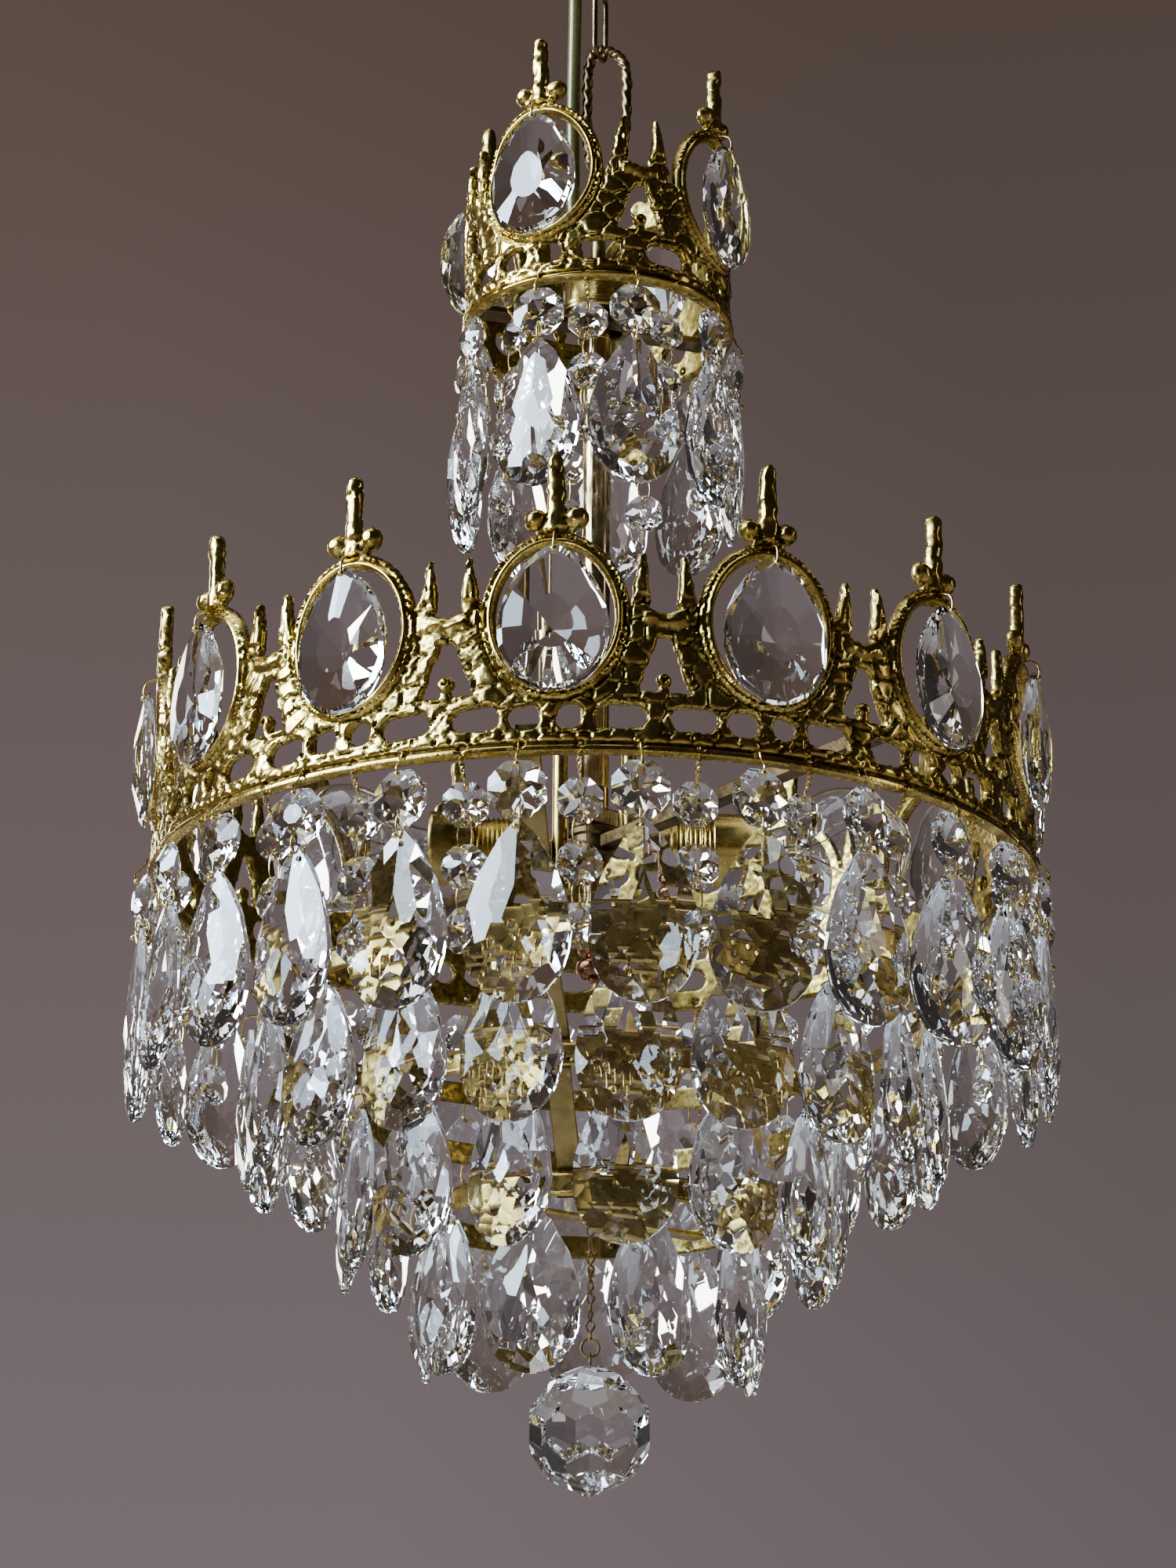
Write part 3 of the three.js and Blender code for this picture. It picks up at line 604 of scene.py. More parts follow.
def crown_field(crown, seed):
    """The same run goes round the crown: an oval frame under a spike with two balls, then a leaf and a
    notch with a nub. Below are slots, each a centre and a half width, a band of leaves, and the rim."""
    radius = crown["radius"]
    girth = TAU * radius
    half = girth / crown["modules"] / 2
    stretch = girth / crown["modules"] / SLOT_PITCH

    def field(u, z):
        def lumps(size, number):
            return value_noise(u, z, girth, size, seed + number)

        wobble_u = 0.45 * lumps(7, 0) + 0.2 * lumps(2.6, 1)
        wobble_z = 0.45 * lumps(8, 2) + 0.2 * lumps(2.8, 3)
        crisp = from_places(u, radius, crown["modules"], crown["phase"])
        x, y = crisp + wobble_u, z + wobble_z
        ax, edge = np.abs(x), half - np.abs(x)
        rough = lumps(1.7, 4)

        # the outline; the oval frame is turned true, so it has little wobble
        ox, oz = crisp + 0.15 * wobble_u, z - OVAL_LEVEL + 0.15 * wobble_z
        d_in, d_out = oval_distance(ox, oz, *OVAL_OPENING), oval_distance(ox, oz, *OVAL_OUTSIDE)
        from_ball, from_nub = np.hypot(ax - BALL_OUT, y - BALL_LEVEL), np.hypot(edge, y - NUB_LEVEL)
        spike = limb_distance(x, y, (0, 76), (0, 97.2), 3.1, 2.5) + 0.35 * rough
        collar = limb_distance(x, y, (0, 72.5), (0, 79.5), 3.4, 2.6)
        balls = 3.8 - from_ball
        lobes = 2.4 - np.hypot(ax - 3.6, y - 74.2)
        leaf = limb_distance(ax, y, (half - 7.2, 51), (half - 6.2, 65.4), 3.2, 1.1) + 0.35 * rough
        knuckle = np.maximum(3.1 - np.hypot(edge - 7.2, y - 50.5), 3.0 - np.hypot(edge - 8.6, y - 46))
        yoke = limb_distance(ax, y, (half - 7.6, 45.6), (half, 43.4), 3.4, 2.9) + 0.3 * rough
        arch = limb_distance(ax, y, (half - 7.5, 44), (half - 9.5, 26), 3.2, 3.0)
        nub = np.maximum(2.5 - from_nub, limb_distance(edge, y, (0, 18), (0, 23.5), 2.3, 1.3))
        notch = 2.2 + (37.6 - y) * 0.36 + 0.5 * rough - edge
        notch = least(notch, 38.4 - y, y - 20.6, -nub)
        openings = np.full(u.shape, -9.0)
        for centre, wide in SLOTS:
            reach = (wide - SLOT_END) * stretch
            slot = limb_distance(x - centre * stretch, y, (-reach, 12.1), (reach, 12.3), 3.7, SLOT_END)
            openings = np.maximum(openings, slot + 0.3 * rough)
        skirt = least(42.5 - y, -d_in, y + 0.01)
        solid = soft_max(skirt, np.minimum(d_out, -d_in))
        for part in (spike, collar, balls, lobes, leaf, knuckle, yoke, arch, nub):
            solid = soft_max(solid, part)
        pierced = least(solid, -d_in, -notch, -openings)
        inside = np.where(y > SKIRT_FOOT, pierced, np.minimum(y + 0.6 - wobble_z, 6.0))
        inside = np.where(z < SKIRT_FOOT, np.minimum(z, 4.0), inside)
        hole = np.full(u.shape, -9.0)
        for _, count, phase in (crown["long"], crown["short"]):
            at = from_places(u, radius, count, phase)
            hole = np.maximum(hole, HOLE_RADIUS - np.hypot(at, z - HOLE_Z))
        inside = np.minimum(inside, -hole)

        # the front's heights: creased foliage, and then what stands on it
        bent_u, bent_z = u + 0.9 * lumps(3.4, 8), z + 0.9 * lumps(3.4, 9)
        near, gap = plates(bent_u, bent_z, girth, 7.6, 6.0, seed + 5)
        _, small_gap = plates(bent_u, bent_z, girth, 2.7, 2.2, seed + 6)
        groove = np.exp(-((gap / 0.085) ** 2))
        small_groove = np.exp(-((small_gap / 0.11) ** 2)) * unit(lumps(8, 11) * 4)
        height = 1.8 + 0.40 * unit(1 - near**2) + 0.4 * lumps(8.0, 10)
        height = height - 0.9 * groove - 0.35 * small_groove + 0.06 * lumps(2.4, 13)
        cord = 0.9 + 0.1 * np.sin(np.arctan2(ox, oz) * 74)
        frame_h = (1.1 + 2.3 * bump(-d_in, 1.45, 1.45) + 1.7 * bump(-d_in, 3.65, 0.8) * cord
                   - 0.5 * bump(-d_in, 2.85, 0.3))
        in_frame = (d_out > -0.1) & (d_in < 0)
        height = np.where(in_frame, frame_h, height)
        spike_h = 1.0 + 2.1 * bump(x, 0, 3.3) + 0.5 * lumps(2.6, 7)
        on_spike = (y > 73.5) & (ax < 3.4)
        height = np.where(on_spike, spike_h, height)
        ball_h = 1.0 + 2.7 * unit(1 - (from_ball / 2.9) ** 4) ** 0.5
        ball_h = ball_h + 1.1 * bump(from_ball, 3.35, 0.5)
        height = np.where(from_ball < 3.9, ball_h, height)
        leaf_axis = half - 7.4 + (y - 50) * (1.3 / 16.2)
        leaf_h = 1.2 + 1.5 * unit(leaf / 1.8) ** 0.6 - 0.6 * np.exp(-((ax - leaf_axis) / 0.4) ** 2)
        height = np.where((leaf > -0.4) & (y > 52), leaf_h, height)
        yoke_h = 1.3 + 1.7 * unit(yoke / 2.6) ** 0.6 + 0.3 * rough
        height = np.where((yoke > 0) & (edge < 6.5), yoke_h, height)
        height = np.where(from_nub < 2.6, 2.4 - 1.9 * (from_nub < 0.75), height)
        leaf_near, leaf_gap = plates(bent_u, z, girth, 5.6, 2.6, seed + 12)
        leaf_groove = np.exp(-((leaf_gap / 0.10) ** 2))
        leaves = 1.9 + 0.6 * unit(1 - leaf_near**2) - 1.0 * leaf_groove
        band = unit((z - 4.6) / 0.5) * unit((8.6 - z) / 1.0)
        height = height * (1 - band) + leaves * band
        beads = 0.78 + 0.22 * np.sin(u * TAU / (girth / round(girth / 1.25)))
        rim_h = (1.3 + 0.9 * bump(z, 4.25, 0.55) + 1.9 * bump(z, 1.75, 1.25)
                 + 1.5 * bump(z, 0.25, 0.6) * beads - 0.5 * bump(z, 3.1, 0.5))
        height = np.where(z < RIM_TOP, rim_h, height)

        # tarnish in creases and hollows; darker at the edges and round the holes
        creases = np.maximum(groove, 0.8 * small_groove) * ~in_frame * ~on_spike * (1 - band)
        creases = (creases + leaf_groove * band) * (z > RIM_TOP)
        tarnish_and_shade = unit((local_mean(height, 3) - height) * 0.9 + 0.8 * creases)
        tarnish_and_shade = np.where(inside < 0.55, np.maximum(tarnish_and_shade, 0.35), tarnish_and_shade)
        tarnish_and_shade = np.where(hole > -0.45, 0.95, tarnish_and_shade)
        rounding = rounded(inside, 0.85)
        return inside, height * rounding, -1.3 * rounding - 0.12 * unit(rough), tarnish_and_shade

    return field


for name, crown, cell, seed in (("lower_crown", LOWER, 0.72, 100), ("upper_crown", UPPER, 0.6, 200)):
    field = crown_field(crown, seed)
    made, tarnish_and_shade = relief(crown["radius"], crown["base"], CROWN_FOOT, CROWN_TOP, cell, field)
    piece(name + "_casting", made, cast_brass, name, 60, fields={"tarnish_and_shade": tarnish_and_shade})


# ---- cut crystals ----
FRONT, BACK = -1, 1
OCTAGON_GIRDLE, DROP_GIRDLE, PEAR_GIRDLE = 1.2, 1.6, 1.0


def steps(count, offset=0.0):
    return [(k + offset) / count for k in range(count)]


def fan(centre, spacing, count):
    return [centre + spacing * (k - (count - 1) / 2) for k in range(count)]


def drop_outline(width, height, teardrop):
    """A drop's outline about its widest level, pointed at the top."""
    t = np.linspace(0, pi, 160)
    x = np.sin(t) * np.sin(t / 2) ** teardrop
    z = height / 2 * np.cos(t)
    x *= width / 2 / x.max()
    middle = z[np.argmax(x)]
    return np.stack([np.concatenate([x, -x]), np.concatenate([z, z]) - middle], 1), middle


def gem(outline, girdle, rim, tiers, middle=0.0):
    """A cut crystal that faces -Y. rim is the number of flats round its edge. Each tier of facets is the
    side it is on, its height at the rim and at the centre, and where its facets point, in turns from up."""
    planes = []

    def support(turn):
        n = np.array([sin(TAU * turn), cos(TAU * turn)])
        return n, float((outline @ n).max())

    for turn in steps(rim):
        n, reach = support(turn)
        planes.append(((n[0], 0, n[1]), reach))
    for side, at_rim, at_centre, turns in tiers:
        for turn in turns:
            n, reach = support(turn)
            slope = at_centre - at_rim
            planes.append(((slope * n[0] / reach, side, slope * n[1] / reach), girdle / 2 + at_centre))
    return convex(planes, 300).moved(z=middle)


def domed(side, rise, out, turns):
    """A tier that touches a dome at a share of the way out from its centre."""
    centre = rise * (1 + out**2)
    return side, centre - 2 * rise * out, centre, turns


def octagon(across, thick, table):
    corners = TAU * np.array(steps(8, 0.5))
    outline = across / 2 / cos(radians(22.5)) * np.stack([np.cos(corners), np.sin(corners)], 1)
    rise = (thick - OCTAGON_GIRDLE) / 2
    tiers = [(FRONT, 0.1 * rise, 1.4 * rise, steps(8)), (FRONT, -0.12 * rise, 1.6 * rise, steps(8, 0.5)),
             (FRONT, table * rise, table * rise, [0]),
             (BACK, 0.1 * rise, 1.1 * rise, steps(8)), (BACK, -0.12 * rise, 1.35 * rise, steps(8, 0.5))]
    return gem(outline, OCTAGON_GIRDLE, 8, tiers)


def drop_cut(width, height, thick, teardrop):
    """The long facets of the upper half meet the fan of the lower half on a level line."""
    outline, middle = drop_outline(width, height, teardrop)
    rise = (thick - DROP_GIRDLE) / 2
    front = ((0.28, [0.0]), (0.48, fan(0, 0.28, 2)), (0.70, fan(0, 0.20, 4)), (0.36, fan(0.5, 0.14, 4)),
             (0.68, fan(0.5, 0.13, 5)), (0.90, steps(14, 0.5)))
    back = ((0.30, [0.0]), (0.68, fan(0, 0.32, 2)), (0.42, fan(0.5, 0.19, 3)), (0.88, steps(12, 0.5)))
    tiers = [domed(FRONT, rise, *tier) for tier in front] + [domed(BACK, rise, *tier) for tier in back]
    return gem(outline, DROP_GIRDLE, 30, tiers, middle)


def pear_cut(width, height, thick, teardrop):
    outline, middle = drop_outline(width, height, teardrop)
    rise = (thick - PEAR_GIRDLE) / 2
    tiers = [(FRONT, 0.16 * rise, 1.5 * rise, steps(14)), (FRONT, rise, rise, [0]),
             (FRONT, -0.05 * rise, 3.6 * rise, steps(28, 0.5)),
             (BACK, 0.16 * rise, 0.95 * rise, steps(12, 0.5)), (BACK, -0.05 * rise, 2.6 * rise, steps(12))]
    return gem(outline, PEAR_GIRDLE, 32, tiers, middle)


large_octagon = octagon(18.0, 8.0, 0.95)
small_octagon = octagon(14.0, 6.8, 1.3)
strand_drop = drop_cut(33.0, 57.5, 8.6, 0.75)
tier_drop = drop_cut(33.0, 55.0, 8.6, 0.75)
window_drop = pear_cut(34.4, 48.5, 8.6, 0.40)


def wander(width):
    return float(chance.normal(0, width))


# ---- strands, their pins and wires ----
# How far below a rim's edge each crystal or wire of a strand has its middle.
OCTAGON_DOWN, LINK_DOWN, DROP_DOWN = 12.0, 20.6, 49.75
SMALL_OCTAGONS_DOWN, EYES_DOWN = (13.2, 33.0, 52.8), (23.1, 42.9)
TIER_DROP_DOWN = 29.5
PIN_WIRE, TWIST_WIRE = 0.34, 0.27


def local_path(points, azimuth, radius):
    """Points as [sideways, outwards from a ring, height], taken round to an azimuth."""
    a = radians(azimuth)
    x, out, z = np.asarray(points, float).T
    r = radius + out
    return np.stack([x * cos(a) + r * sin(a), x * sin(a) - r * cos(a), z], 1)


def ball_head(azimuth, radius, out, z, size):
    head = lathe([(0, -size * 0.45)] + arc(0, 0, size, -25, 90, 6)[:-1] + [(0, size)], 14).turned("X", 90)
    return placed(head, azimuth, radius + out, z)


def bent_pin(azimuth, radius, points, each, wire, sides, head):
    """A bent wire and its round head. head is how far out it is, its height and its size."""
    path = local_path(spline(points, each), azimuth, radius)
    return [sweep(path, wire, sides), ball_head(azimuth, radius, *head)]


def long_strands(prefix, crown):
    """A pin, a large octagon, an oval link and a drop."""
    (radius, count, phase), rim = crown["long"], crown["base"]
    face = crown["radius"] - radius
    octagons, drops, pins = [], [], []
    for azimuth in azimuths(count, phase):
        octagons.append(placed(large_octagon, azimuth, radius, rim - OCTAGON_DOWN, wander(9), wander(1.5)))
        drops.append(placed(strand_drop, azimuth + wander(0.3), radius, rim - DROP_DOWN,
                            wander(9), wander(1.2)))
        hook = [(0, face - 1.2, rim + HOLE_Z + 0.2), (0, face + 3.4, rim + HOLE_Z + 0.1),
            (0.1, face + 4.6, rim + 0.6), (0.1, 3.4, rim - 2.6), (0, 3.2, rim - 4.6)]
        pins += bent_pin(azimuth, radius, hook, 5, PIN_WIRE, 7, (3.0, rim - 4.9, 0.95))
        pins.append(placed(ring(2.5, 0.36, 0, 90 + wander(14), 7.4), azimuth, radius, rim - LINK_DOWN))
        pins.append(ball_head(azimuth, radius, 3.1, rim - 24.6, 0.95))
    stands_for = prefix + "_strands_long"
    piece(prefix + "_large_octagons", joined(octagons), crystal_glass, stands_for)
    piece(prefix + "_long_drops", joined(drops), crystal_glass)
    piece(prefix + "_long_pins", joined(pins), wire_brass, smooth=50)


def short_strands(prefix, crown):
    """A twisted wire and three small octagons, with a ring between each two."""
    (radius, count, phase), rim = crown["short"], crown["base"]
    top = np.array([0, crown["radius"] - radius + 1.6, rim + HOLE_Z])
    foot = np.array([0, 0.4, rim - 7.6])
    share = np.linspace(0, 1, 44)
    middle = top + (foot - top) * share[:, None]
    middle[:, 1] += 1.4 * np.sin(share * pi)
    curl = 0.25 + 0.75 * np.sin(unit(share * 1.25) * pi) ** 0.6
    octagons, wires = [], []
    for azimuth in azimuths(count, phase):
        for down in SMALL_OCTAGONS_DOWN:
            octagons.append(placed(small_octagon, azimuth, radius, rim - down, wander(10), wander(2)))
        for start in (0, pi):
            angle = share * 3.2 * TAU + start
            across = np.stack([0.75 * curl * np.cos(angle), 0.75 * curl * np.sin(angle), 0 * angle], 1)
            wires.append(sweep(local_path(middle + across, azimuth, radius), TWIST_WIRE, 6))
        wires.append(placed(ring(1.3, 0.28, 0, 90, 4.0, 16, 6), azimuth, radius, rim - 8.0))
        for down in EYES_DOWN:
            eye = ring(2.3, 0.26, 0, wander(30), 10.6, 24, 6)
            wires.append(placed(eye, azimuth, radius, rim - down))
            wires.append(ball_head(azimuth, radius, 1.9, rim - down - 4.4, 0.8))
    stands_for = prefix + "_strands_short"
    piece(prefix + "_small_octagons", joined(octagons), crystal_glass, stands_for)
    piece(prefix + "_twisted_wires", joined(wires), wire_brass, smooth=50)


for prefix, crown in (("rim", LOWER), ("upper", UPPER)):
    long_strands(prefix, crown)
    short_strands(prefix, crown)

# ---- window drops ----
WINDOW_LEVEL, WINDOW_OUT = 42.75, 5.6


def windows(prefix, digits, crown, yaws):
    """A drop in front of each oval. yaws is how far each glass has turned on its pin."""
    radius, base = crown["radius"], crown["base"]
    hook = [(0, 1.4, base + 71.6), (0, 3.8, base + 71.6), (0.1, 6.6, base + 70.2),
        (0.1, 7.6, base + 67.6), (0, 7.3, base + 65.2)]
    for k, (azimuth, yaw) in enumerate(zip(azimuths(crown["modules"], crown["phase"]), yaws), 1):
        name, body = f"{prefix}_pendant_{k:{digits}}", f"{prefix}_{k:{digits}}"
        glass = placed(window_drop, azimuth, radius + WINDOW_OUT, base + WINDOW_LEVEL,
                       yaw + wander(2.5), wander(0.8))
        piece(name + "_glass", glass, crystal_glass, name, body=body)
        pin = bent_pin(azimuth, radius, hook, 6, 0.42, 8, (7.4, base + 64.7, 1.15))
        piece(name + "_pin", joined(pin), wire_brass, smooth=50, body=body)


windows("window", "02", LOWER, [0] * 14)
windows("upper_window", "", UPPER, (0, 0, 0, -21))


# ---- basket ----
def band_field(radius, high, count, phase):
    """A band with three rows of round holes and a lip at both edges."""
    def field(u, z):
        inside = np.minimum(z, high - z)
        for many, level, size, offset in ((count, 2.3, 1.0, 0.0), (count, 2.3, 0.7, 0.5),
                                          (count * 2, 5.9, 0.85, 0.25)):
            at = from_places(u, radius, many, phase, offset)
            inside = np.minimum(inside, np.hypot(at, z - level) - size)
        lip = 0.35 * (bump(z, 0.6, 0.6) + bump(z, high - 0.6, 0.6))
        ripple = 0.12 * value_noise(u, z, TAU * radius, 9, int(radius))
        rounding = rounded(inside, 0.5)
        front, back = (0.5 + lip + ripple) * rounding, (-0.5 + ripple) * rounding
        return inside, front, back, unit(0.4 - inside)

    return field


for number, (radius, top, foot, stand, count, phase) in enumerate(TIERS, 1):
    field = band_field(radius, top - foot, count, phase)
    made, tarnish_and_shade = relief(radius, foot, -0.5, top - foot + 0.5, 0.62, field)
    name = f"tier_band_{number}"
    piece(name + "_perforated", made, sheet_brass, name, 50, fields={"tarnish_and_shade": tarnish_and_shade})
    hook = [(0, -3.2, foot + 2.3), (0, 1.6, foot + 2.6), (0.1, 3.6, foot + 0.4), (0.1, 4.2, foot - 3.4),
        (0, 3.2, foot - 5.6)]
    drops, pins = [], []
    for azimuth in azimuths(count, phase):
        turn = radians(azimuth)
        lift = 4.2 * (1 - cos(turn)) - 1.8 * sin(turn) if number == 3 else 0.0  # it hangs unevenly
        level = foot - TIER_DROP_DOWN + max(0.0, lift)
        drops.append(placed(tier_drop, azimuth, stand + 0.8, level, wander(8), wander(1.2)))
        pins += bent_pin(azimuth, stand, hook, 6, PIN_WIRE, 7, (3.2, foot - 5.7, 0.95))
    piece(f"tier_drops_{number}", joined(drops), crystal_glass, f"tier_pendants_{number}")
    piece(f"tier_pins_{number}", joined(pins), wire_brass, smooth=50)

STRAP_INSET, STRAP_WIDTH, STRAP_THICK, STRAP_EDGE = 2.4, 8.0, 1.1, 0.3


def strap():
    """A bent strip with rounded edges, in the plane of -Y and Z, with a rivet at each band."""
    bends = [(147.3, 11.0), (147.3, 3.0)]
    for radius, top, foot, *_ in TIERS:
        bends += [(radius - STRAP_INSET, top), (radius - STRAP_INSET, foot)]
    fine = [bends[0]]
    for a, b in zip(bends, bends[1:]):
        for t in (0.05, 0.5, 0.95, 1.0):
            fine.append((a[0] + (b[0] - a[0]) * t, a[1] + (b[1] - a[1]) * t))
    line = np.array([(0, -r, z) for r, z in fine])
    tangent = np.gradient(line, axis=0)
    tangent /= np.linalg.norm(tangent, axis=1)[:, None]
    normal = np.cross(tangent, [1.0, 0, 0])
    w, t, e = STRAP_WIDTH / 2, STRAP_THICK / 2, STRAP_EDGE
    section = [(e - w, -t), (w - e, -t), (w, e - t), (w, t - e)]
    section += [(-x, -y) for x, y in section]
    points = np.stack([line + np.array([x, 0, 0]) + normal * y for x, y in section], 1)
    m, k = points.shape[:2]
    at = np.arange(m * k).reshape(m, k)
    side = np.roll(at, -1, 1)
    quads = np.stack([at[:-1], side[:-1], side[1:], at[1:]], -1).reshape(-1, 4).tolist()
    parts = [Shape(points, quads + [at[0][::-1].tolist(), at[-1].tolist()]).facing_out()]
    rivet = lathe([(0, 0), (1.5, 0), (1.5, 0.3)] + arc(0, 0.2, 1.4, 20, 90, 4)[:-1] + [(0, 1.5)], 16)
    for radius, top, foot, *_ in TIERS:
        parts.append(rivet.turned("X", -90).moved(0, -(radius - STRAP_INSET) + 0.5, (top + foot) / 2))
    return joined(parts)


one_strap = strap()
for number, azimuth in enumerate((82, 172, 262, 352), 1):
    name = f"basket_strap_{number}"
    piece(name + "_riveted", one_strap.turned("Z", azimuth), shaded_strap_brass, name, 35)

BAR_TURN = 37
BOTTOM_Z = -112.0
bottom = bar(94, 8, 1.6, 0.4).turned("Z", BAR_TURN).moved(z=BOTTOM_Z)
piece("bottom_bar_bevelled", bottom, sheet_brass, "bottom_bar", 35)

# ---- ball and its hanger ----
BALL_CENTRE, BALL_RADIUS, NECK_TOP = -182.0, 20.0, -161.0
RING_CENTRE, HANGER_BOTTOM, TWIST_FOOT, HANGER_TOP = -159.4, -157.9, -152.3, BOTTOM_Z + 1.1
facets = []
for latitude, count, offset, reach in ((0, 10, 0, 0.98), (35, 10, 0.5, 0.97), (-33, 10, 0.5, 0.97),
                                       (62, 5, 0, 1.0), (-63, 5, 0, 0.96)):
    for turn in steps(count, offset):
        a, b = TAU * turn, radians(latitude)
        n = (cos(b) * cos(a), cos(b) * sin(a), sin(b))
        facets.append((n, BALL_RADIUS * reach))
facets.append(((0, 0, 1), NECK_TOP - BALL_CENTRE))
ball = convex(facets, 200).moved(z=BALL_CENTRE)
piece("crystal_ball_cut", ball, crystal_glass, "crystal_ball", body="ball")
piece("ball_ring", ring(2.9, 0.42, RING_CENTRE, 90), chain_brass, smooth=40, body="ball")
share = np.linspace(0, 1, 90)
hanger = [ring(3.0, 0.42, HANGER_BOTTOM + 3.2)]
for start in (0, pi):
    angle = share * 4.5 * TAU + start
    wide = 0.45 + 0.9 * np.abs(np.sin(share * 4 * pi)) ** 2
    height = TWIST_FOOT + (HANGER_TOP - TWIST_FOOT) * share
    hanger.append(sweep(np.stack([wide * np.cos(angle), wide * np.sin(angle), height], 1), 0.36, 8))
button = [(0, 1.0), (2.6, 1.1), (3.1, 1.6), (3.1, 2.5), (2.4, 3.1), (0, 3.2)]
hanger.append(lathe(button, 24).moved(z=BOTTOM_Z))
piece("ball_hanger_twisted", joined(hanger), chain_brass, "ball_hanger", 40)

# ---- stem, hub, crossbars, finial ----
stem = lathe([(4.2, -12), (4.8, -12), (5, -11.6), (5, 1), (4.85, 1.2), (5, 1.4), (5, 40), (4.85, 40.3),
    (5, 40.6), (5, 213), (4.8, 213.3), (5, 213.6), (5, 221.7), (4.8, 222), (4.2, 222)], 48, True)
piece("stem_tube_polished", stem, stem_brass, "stem_tube", 30)
hub = bar(13.4, 13.4, 7, 0.9).turned("Z", 40).moved(z=28.6)
piece("hub_block_bevelled", hub, stem_brass, "hub_block", 30)
lower_bar = bar(2 * 147.6, 6, 5, 0.5).turned("Z", BAR_TURN + 90).moved(z=19)
lower_boss = lathe([(0, 14.5), (8.4, 14.5), (9, 15.1), (9, 16.6), (8.2, 17.4), (8.2, 21.6), (9, 22.4),
    (9, 24.2), (8.4, 24.8), (0, 24.8)], 48)
piece("lower_crossbar_square", joined([lower_bar, lower_boss]), dark_brass, "lower_crossbar", 30)
upper_bar = bar(88.2, 8, 2.6, 0.4).turned("Z", 18).moved(z=218.6)
upper_boss = lathe([(0, 217.3), (9, 217.3), (9.5, 217.8), (9.5, 221.4), (9, 222), (0, 222)], 48)
piece("upper_crossbar_flat", joined([upper_bar, upper_boss]), dark_brass, "upper_crossbar", 30)
finial = lathe([(0, -30), (0.9, -29.9), (1.7, -29.5), (2, -28.8), (1.6, -28), (2.6, -27.6)]
    + arc(2.4, -24.8, 3.6, -60, 55, 9) + [(3, -21.6), (2.7, -21), (3.2, -20.4)]
    + arc(3, -18.2, 2.4, -55, 50, 7) + [(3.4, -16.1), (3.2, -15.5), (4.4, -15), (5, -14.5), (5, -12.6),
    (4.7, -12.3), (0, -12.3)], 48)
piece("stem_finial_turned", finial, copper, "stem_finial", 30)
lead = lathe([(0, 8), (1.6, 8), (2.2, 8.8), (2.2, 220.4), (1.8, 221), (0, 221)], 16)
piece("stem_lead_sheath", lead, sheath, "stem_lead", 40)

# ---- lamps ----
LAMP_Z = 18.0
BULB_RADIUS, BULB_CENTRE, WALL = 22.5, 87, 0.55


